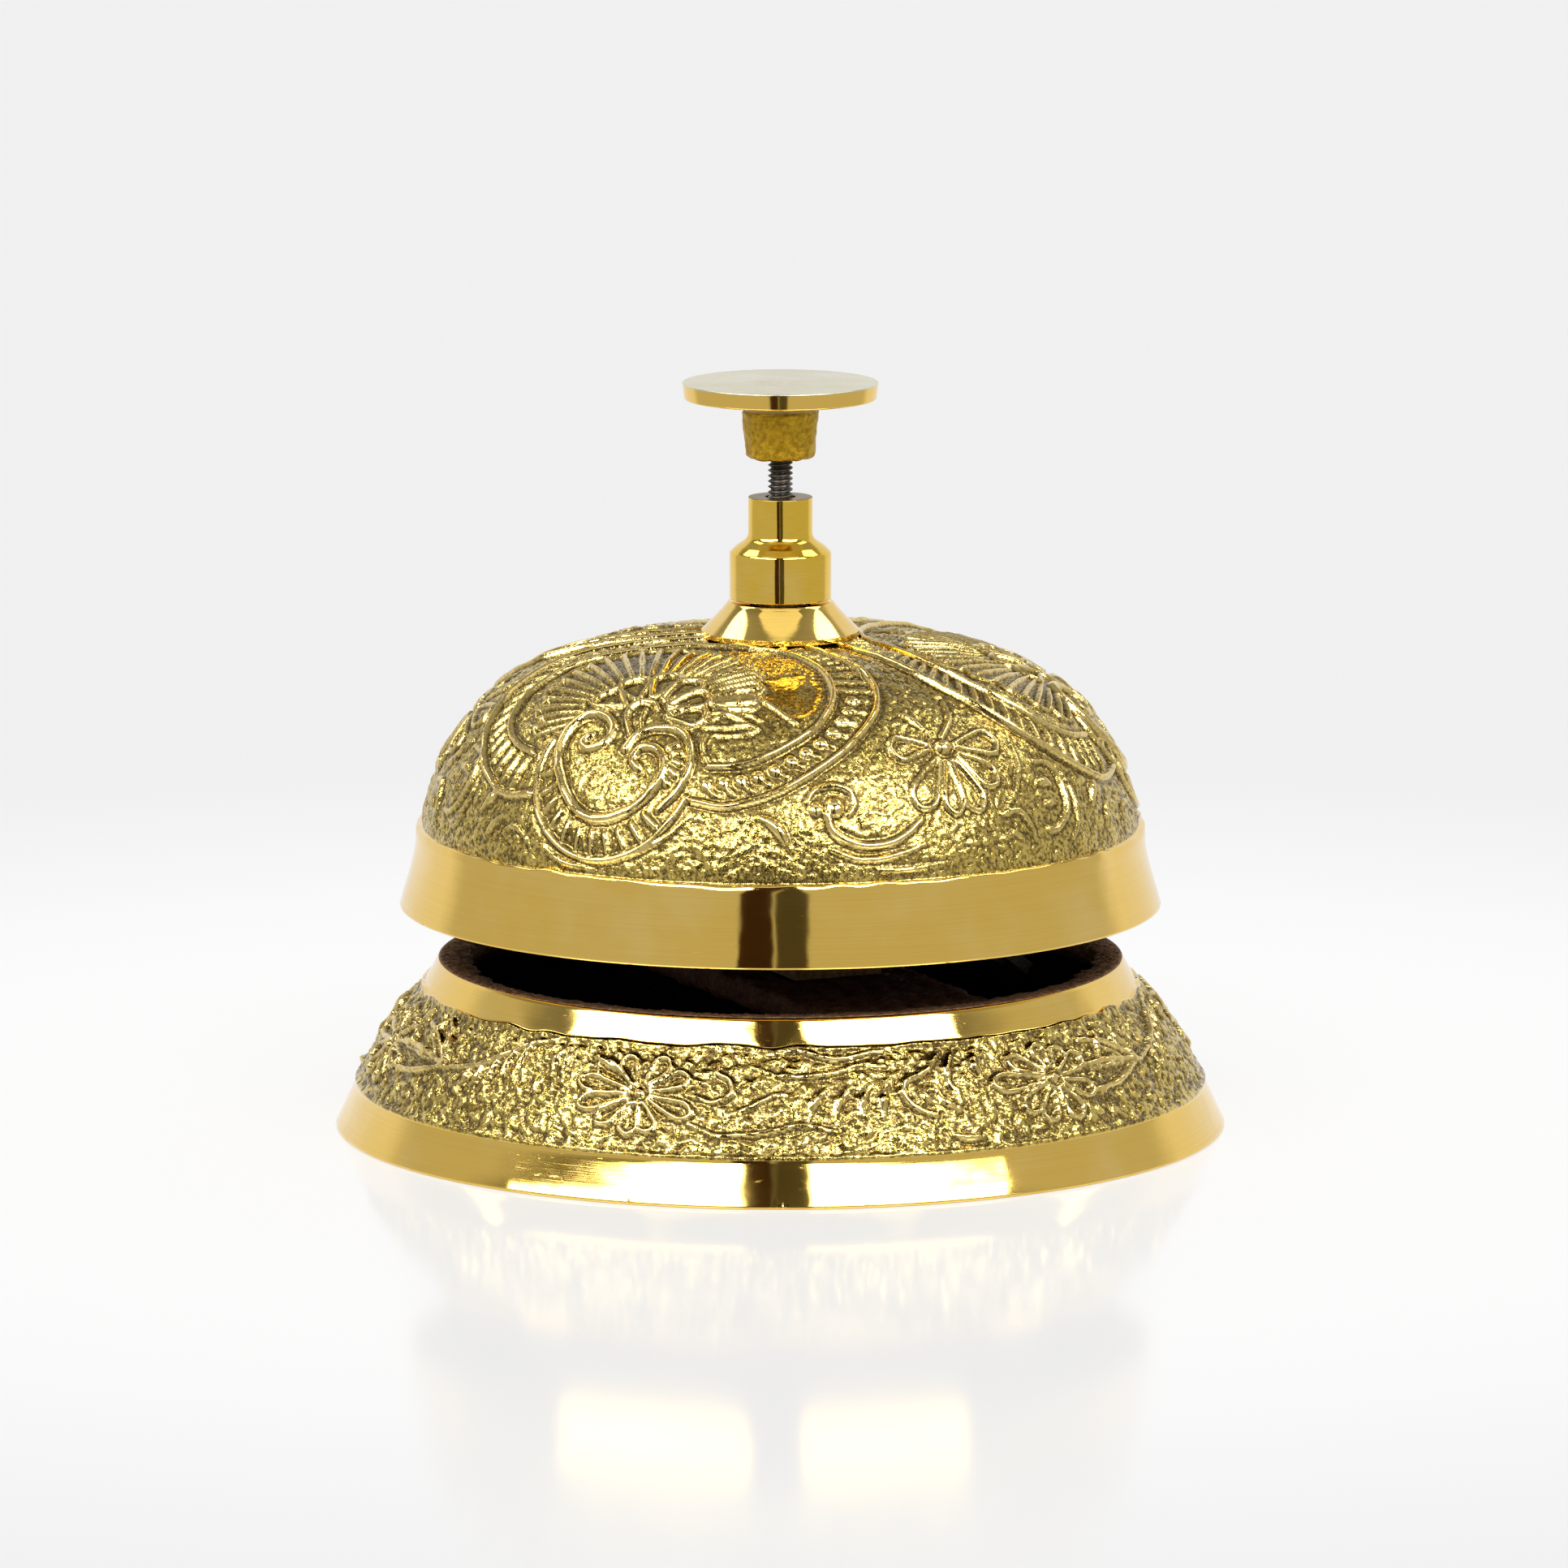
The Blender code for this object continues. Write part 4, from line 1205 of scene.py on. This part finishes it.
# ---------------------------------------------------------------- top fittings

def make_collar():
    """A cone that flares to the dome. It reaches below its solid, to meet the ornament."""
    radius, bottom, top = size_of("cone_collar")
    top_r = 6.8
    bore = 3.9
    outline = [(bore, top, 0), (top_r - 0.15, top, 0.05)]
    for share in np.linspace(0, 1, 15):
        z = top - 0.12 - (top - bottom - 0.5) * share
        outline.append((top_r + (radius - top_r) * share ** 1.12, z, 0))
    low = bottom - 0.35
    outline += [(radius, low, 0.2), (bore, low, 0), (bore, top, 0)]
    finish = polished_brass("collar_finish")
    collar = turned("polished_collar", fillet(outline)[:-1], finish, 192, closed=True)
    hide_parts("cone_collar")
    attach(collar, "stand")


def make_shoulder_nut():
    """A turned nut with a sleeve; the sleeve's bore narrows to the rod at its mouth."""
    radius, bottom, top = size_of("shoulder_nut")
    sleeve = 4.1
    bore = 2.65
    mouth = 1.95
    outline = [
        (mouth, top, 0.05), (sleeve, top, 0.12), (sleeve, 75.75, 1.4), (radius - 0.9, 74.75, 0.6),
        (radius, 73.9, 0.7), (radius, bottom + 0.1, 0.15), (radius - 0.35, bottom, 0),
        (3.9, bottom, 0),
        (3.9, 73.5, 0), (bore, 73.5, 0), (bore, top - 1.6, 0), (mouth, top - 1.0, 0),
    ]
    outline = fillet([(mouth, top - 0.5, 0)] + outline)
    finish = polished_brass("shoulder_finish", DEEP_BRASS, top)
    nut = turned("turned_shoulder_nut", outline, finish, 160, closed=True)
    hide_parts("shoulder_nut")
    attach(nut, "stand")


# ---------------------------------------------------------------- plunger

def make_button():
    """A flat disc with a turned edge, over a rough boss that is left as cast."""
    radius, bottom, top = size_of("button")
    edge_bottom = top - 2.1
    disc = [
        (0.6, top, 0), (radius, top - 0.02, 0.12), (radius - 0.22, edge_bottom, 0.25),
        (radius - 1.2, edge_bottom - 0.05, 0.3), (6.0, 92.7, 0), (4.6, 92.1, 0),
    ]
    cap = turned("button_disc", fillet(disc), button_brass("button_finish", top), 192)
    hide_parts("button")
    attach(cap, "plunger")

    columns = 96
    shape = fillet([(4.5, 92.7, 0), (4.9, 91.9, 0.3), (4.4, bottom, 0.6), (1.9, bottom + 0.1, 0)])
    line = np.array(refine(shape + [(1.8, bottom + 0.6)], 0.3))
    rough = 0.055 * grain((len(line), columns), 1.3, 61)
    rough = rough + 0.05 * grain((len(line), columns), 3.5, 62)
    rough[[0, -1]] = 0
    normal_r, normal_z = row_normals(line[:, 0], line[:, 1])
    radius = line[:, :1] + normal_r[:, None] * rough
    z = line[:, 1:] + normal_z[:, None] * rough
    mesh = quad_mesh("button_boss", round_points(radius, z, round_angles(columns)))
    cap_ends(mesh)
    mesh.shade_smooth()
    boss = link("button_boss", mesh, [boss_brass("boss_finish")])
    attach(boss, "plunger")


def button_brass(name, top):
    """Brass with a hazy top whose pale colour is painted sheen, browner in the middle, a bright
    edge, and a dull underside painted pale grey as light.
    """
    made = new_material(name)
    place = made.place()
    lines = made.noise(made.turning(10.0, 1.2), 1.0, 3.0, 0.6)
    cloud = made.noise(place, 0.16, 3.0, 0.6)
    x, y, z = made.parts(place)
    middle = made.spread(made.radius(x, y), 1.0, 5.5, 0.3, 0.0)
    spot = made.times(middle, made.spread(cloud, 0.35, 0.6, 0.3, 1.0))
    # painted sheen: the top face is painted paler than the edge, as a bright grazing reflection;
    # its extra roughness is a haze
    haze_and_sheen = made.spread(z, top - 0.3, top - 0.08)
    colour = made.mix(made.times(made.spread(lines, 0.3, 0.75), 0.1), PALE_SHEEN_BRASS, BRIGHT_BRASS)
    colour = made.mix(spot, colour, OLIVE)
    colour = made.mix(haze_and_sheen, BRASS, colour)
    # painted light: the underside is rougher and painted pale grey as if lit, so the collar under
    # it reflects a whitish patch
    under = made.spread(z, top - 2.2, top - 2.0, 1.0, 0.0)
    colour = made.mix(under, colour, UNDERSIDE_PAINTED_LIGHT)
    rough = made.plus(0.09, made.times(haze_and_sheen, made.spread(cloud, 0.35, 0.7, 0.13, 0.2)))
    rough = made.plus(rough, made.times(under, 0.4))
    return made.finish(colour, rough, made.bump(lines, 0.3, 0.006))


def boss_brass(name):
    """Brass left as cast: matt, olive brown."""
    made = new_material(name)
    place = made.place()
    lumps = made.noise(place, 1.6, 5.0, 0.65)
    dark, light = (0.34, 0.20, 0.012, 1), (0.66, 0.42, 0.035, 1)
    colour = made.mix(made.spread(lumps, 0.35, 0.68), dark, light)
    rough = made.spread(lumps, 0.3, 0.7, 0.42, 0.6)
    return made.finish(colour, rough, made.bump(lumps, 0.6, 0.18))


def make_rod():
    """A threaded steel rod."""
    _, bottom, top = size_of("push_rod")
    radius = 1.6
    pitch = 0.69
    depth = 0.44
    columns = 32
    per_turn = 10
    rows = int((top - bottom) / pitch * per_turn)
    z = np.linspace(top, bottom, rows)[:, None]
    angles = round_angles(columns)
    phase = (z / pitch - np.arange(columns) / columns) % 1.0
    steepness, flat_crest = 2.4, 0.12
    groove = np.clip(np.abs(phase - 0.5) * steepness - flat_crest, 0, 1)
    fade = np.clip(np.minimum(top - z, z - bottom) / 0.8, 0, 1)
    reach = radius - depth * (1 - fade) - depth * fade * groove
    mesh = quad_mesh("threaded_rod", round_points(reach, np.broadcast_to(z, reach.shape), angles))
    cap_ends(mesh)
    mesh.shade_smooth()
    mesh.set_sharp_from_angle(angle=math.radians(70))
    rod = link("threaded_rod", mesh, [steel("rod_finish", (0.17, 0.155, 0.135, 1), 0.38)])
    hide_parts("push_rod")
    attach(rod, "plunger")


def make_spring():
    """The return spring, with closed end turns. This mesh keeps one length, though the real spring
    shortens as the plunger goes down.
    """
    low, high = (corner.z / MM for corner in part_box("return_spring"))
    wire = 0.4
    mean_r = 2.9
    coils = 8.0
    closed_turns = 1.25
    closed_pitch = 0.85
    low += wire
    high -= wire
    ring = 10
    turns = np.linspace(0, coils, int(coils * 40) + 1)
    open_rise = high - low - 2 * closed_turns * closed_pitch
    rise = closed_pitch * np.minimum(turns, closed_turns)
    rise += open_rise * np.clip((turns - closed_turns) / (coils - 2 * closed_turns), 0, 1)
    rise += closed_pitch * np.clip(turns - coils + closed_turns, 0, None)
    angle = turns * 2 * math.pi + BRIDGE_ANGLE
    section = np.arange(ring) * 2 * math.pi / ring
    radius = mean_r + wire * np.cos(section)[None, :]
    height = low + rise[:, None] + wire * np.sin(section)[None, :]
    points = np.stack([radius * np.cos(angle)[:, None], radius * np.sin(angle)[:, None], height],
        axis=-1)
    mesh = quad_mesh("coil_spring", points)
    cap_ends(mesh)
    mesh.shade_smooth()
    spring = link("coil_spring", mesh, [steel("spring_finish", (0.36, 0.34, 0.31, 1), 0.26)])
    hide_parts("return_spring")
    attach(spring, "stand")
    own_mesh(spring)


# ---------------------------------------------------------------- pieces kept from the frame

def finish_kept_nodes():
    """Procedural finishes for the mechanism's pieces, which keep their shapes."""
    finishes = {
        "cast_brass": raw_casting("stirrup_casting", (0.10, 0.058, 0.022, 1), (0.5, 0.34, 0.1, 1),
            0.5, 0.2),
        "polished_brass": polished_brass("hammer_head_finish"),
        "dark_steel": steel("dark_steel_finish", (0.12, 0.11, 0.10, 1), 0.42),
        "plated_steel": steel("plated_steel_finish"),
        "fibre": fibre("fibre_finish"),
    }
    kept = {
        "cast_brass": ["hammer_frame"],
        "polished_brass": ["hammer_head"],
        "dark_steel": ["pivot_clip", "head_rivet"],
        "fibre": ["fibre_washer"],
    }
    slot_of = {node: slot for slot, nodes in kept.items() for node in nodes}
    for name, piece in frame["nodes"].items():
        for slot in piece.material_slots:
            slot.material = finishes[slot_of.get(name, "plated_steel")]


# ---------------------------------------------------------------- stage

BACKGROUND = (0.905, 0.905, 0.905, 1)
NEAR_BELL, FAR_FROM_BELL = 120, 300    # millimetres; the floor changes between them
FRONT_LAMP, SIDE_LAMP, CEILING_LAMP = 10.5, 4.5, 0.9   # radiances
FRONT_LOW, BEHIND_LOW = 0.62, 0.92     # how bright the studio looks near the horizon
FRONT_HIGH, BEHIND_HIGH = 0.17, 0.42   # and overhead


def floor_finish():
    """Pale floor, bright as if over-lit, with a faint mirror near the bell and no glow under it."""
    made = new_material("floor_finish")
    x, y, _ = made.parts(made.place())
    radius = made.radius(x, y)
    outside = made.spread(radius, BASE_R - BASE_WALL, BASE_R)
    glow = made.times(outside, made.spread(radius, NEAR_BELL, FAR_FROM_BELL, 0.572, 0.612))
    shader = made.tree.nodes["Principled BSDF"]
    shader.inputs["Emission Color"].default_value = (1, 1, 1, 1)
    made.plug(glow, shader.inputs["Emission Strength"])
    mirror = made.add("ShaderNodeBsdfAnisotropic")
    mirror.inputs["Roughness"].default_value = 0.1
    shine = made.times(outside, made.spread(radius, NEAR_BELL, FAR_FROM_BELL, 0.15, 0.0))
    made.plug(shine, mirror.inputs["Color"])
    both = made.add("ShaderNodeAddShader")
    made.plug(shader.outputs[0], both.inputs[0])
    made.plug(mirror.outputs[0], both.inputs[1])
    made.plug(both.outputs[0], made.tree.nodes["Material Output"].inputs["Surface"])
    return made.finish((0.25, 0.25, 0.25, 1), 1.0, None, 0.0, 0.0)


def floor_sheet(name, outline, faces, finish):
    mesh = bpy.data.meshes.new(name)
    mesh.from_pydata(outline, [], faces)
    sheet = link(name, mesh, [finish])
    return sheet


def make_floor():
    """A disc under the bell, and a wide sheet round it that reflections pass."""
    steps = 48
    near, far = 0.15, 6.0
    turns = [2 * math.pi * step / steps for step in range(steps)]
    rim = [(near * math.cos(turn), near * math.sin(turn), 0) for turn in turns]
    edge = [(far * math.cos(turn), far * math.sin(turn), 0) for turn in turns]
    finish = floor_finish()
    floor_sheet("floor", rim, [range(steps)], finish)
    around = []
    for step in range(steps):
        after = (step + 1) % steps
        around.append((steps + step, steps + after, after, step))
    sheet = floor_sheet("floor_around", rim + edge, around, finish)
    sheet.visible_glossy = False


def soft_lamp(name, width, height, radiance, place, rotation):
    """A rectangular lamp of an even radiance that only shows in the brass."""
    lamp = bpy.data.lights.new(name, "AREA")
    lamp.shape = "RECTANGLE"
    lamp.size = width
    lamp.size_y = height
    lamp.energy = radiance * math.pi * width * height
    made = bpy.data.objects.new(name, lamp)
    made.location = place
    made.rotation_euler = rotation
    made.visible_camera = False
    made.visible_diffuse = False
    bpy.context.collection.objects.link(made)


def softbox(name, turns, rises, radiance):
    """An upright lamp between two turns from the front and two rises, in degrees."""
    distance = 1.3
    low, high = (distance * math.tan(math.radians(rise)) for rise in rises)
    half_turn = math.radians(turns[1] - turns[0]) / 2
    turn = math.radians(turns[0]) + half_turn
    place = (distance * math.sin(turn), -distance * math.cos(turn), (low + high) / 2)
    soft_lamp(name, 2 * distance * math.tan(half_turn), high - low, radiance, place,
        (math.radians(90), 0, turn))


def wash():
    """Even light for the floor and the unpolished pieces, too soft to mark the brass."""
    lamp = bpy.data.lights.new("wash", "SUN")
    lamp.energy = 2.2
    lamp.angle = math.radians(70)
    made = bpy.data.objects.new("wash", lamp)
    made.rotation_euler.x = math.radians(25)
    made.visible_glossy = False
    bpy.context.collection.objects.link(made)


def dark_card(name, turn, width, tone):
    """An upright strip that only the brass sees, such as a person behind the camera."""
    distance, low, high = 1.7, -1.2, 2.4
    half = width / 2
    mesh = bpy.data.meshes.new(name)
    corners = [(-half, 0, low), (half, 0, low), (half, 0, high), (-half, 0, high)]
    mesh.from_pydata(corners, [], [(0, 1, 2, 3)])
    card = link(name, mesh, [new_material(name + "_finish").finish(tone, 1.0, None, 0.0, 0.0)])
    turn = math.radians(turn)
    card.location = (distance * math.sin(turn), -distance * math.cos(turn), 0)
    card.rotation_euler.z = turn
    card.visible_camera = False
    card.visible_diffuse = False
    card.visible_shadow = False


def make_world():
    """A pale studio: mid-grey low in front, brighter behind the bell, and dark overhead.

    The camera sees a plain background instead.
    """
    world = bpy.data.worlds.new("studio")
    bpy.context.scene.world = world
    made = Nodes(world)
    x, y, z = made.parts(made.add("ShaderNodeTexCoord").outputs["Generated"])
    low = made.spread(y, 0.42, 0.62, FRONT_LOW, BEHIND_LOW)
    high = made.spread(y, -0.5, 0.2, FRONT_HIGH, BEHIND_HIGH)
    high = made.times(high, made.spread(x, -0.75, -0.45, 0.65, 1.0))
    edge = made.plus(z, made.spread(x, -0.85, -0.3, 0.08, 0.0))
    edge = made.plus(edge, made.spread(made.math("ABSOLUTE", x), 0.1, 0.45, 0.10, 0.0))
    lit = made.mix(made.spread(edge, 0.50, 0.62), low, high)
    seen = made.add("ShaderNodeLightPath").outputs["Is Camera Ray"]
    made.plug(made.mix(seen, lit, BACKGROUND), made.tree.nodes["Background"].inputs["Color"])


def make_camera():
    camera = bpy.data.cameras.new("camera")
    camera.sensor_width = 36.0
    camera.lens = 269.1
    camera.shift_x = 0.0023
    made = bpy.data.objects.new("camera", camera)
    made.location = (0, -1.47778, 0.29327)
    made.rotation_euler.x = math.radians(90 - 9.58)
    bpy.context.collection.objects.link(made)
    bpy.context.scene.camera = made


def make_stage():
    make_camera()
    make_world()
    make_floor()
    wash()
    softbox("left_softbox", (-79, -11), (33, 50), FRONT_LAMP)
    softbox("right_softbox", (8.5, 66), (33, 52), FRONT_LAMP)
    soft_lamp("ceiling_light", 1.5, 0.50, CEILING_LAMP, (0, -0.45, 1.5), (0, 0, 0))
    softbox("left_side_softbox", (-126, -100), (42, 62), SIDE_LAMP)
    softbox("right_side_softbox", (100, 126), (42, 62), SIDE_LAMP)
    dark_card("brown_card", -7.5, 0.30, (0.055, 0.028, 0.018, 1))
    dark_card("grey_card", 3.5, 0.30, (0.10, 0.09, 0.07, 1))
    bpy.context.scene.view_settings.view_transform = "Standard"


make_gong()
make_foot()
make_bridge()
make_collar()
make_shoulder_nut()
make_button()
make_rod()
make_spring()
finish_kept_nodes()
make_stage()
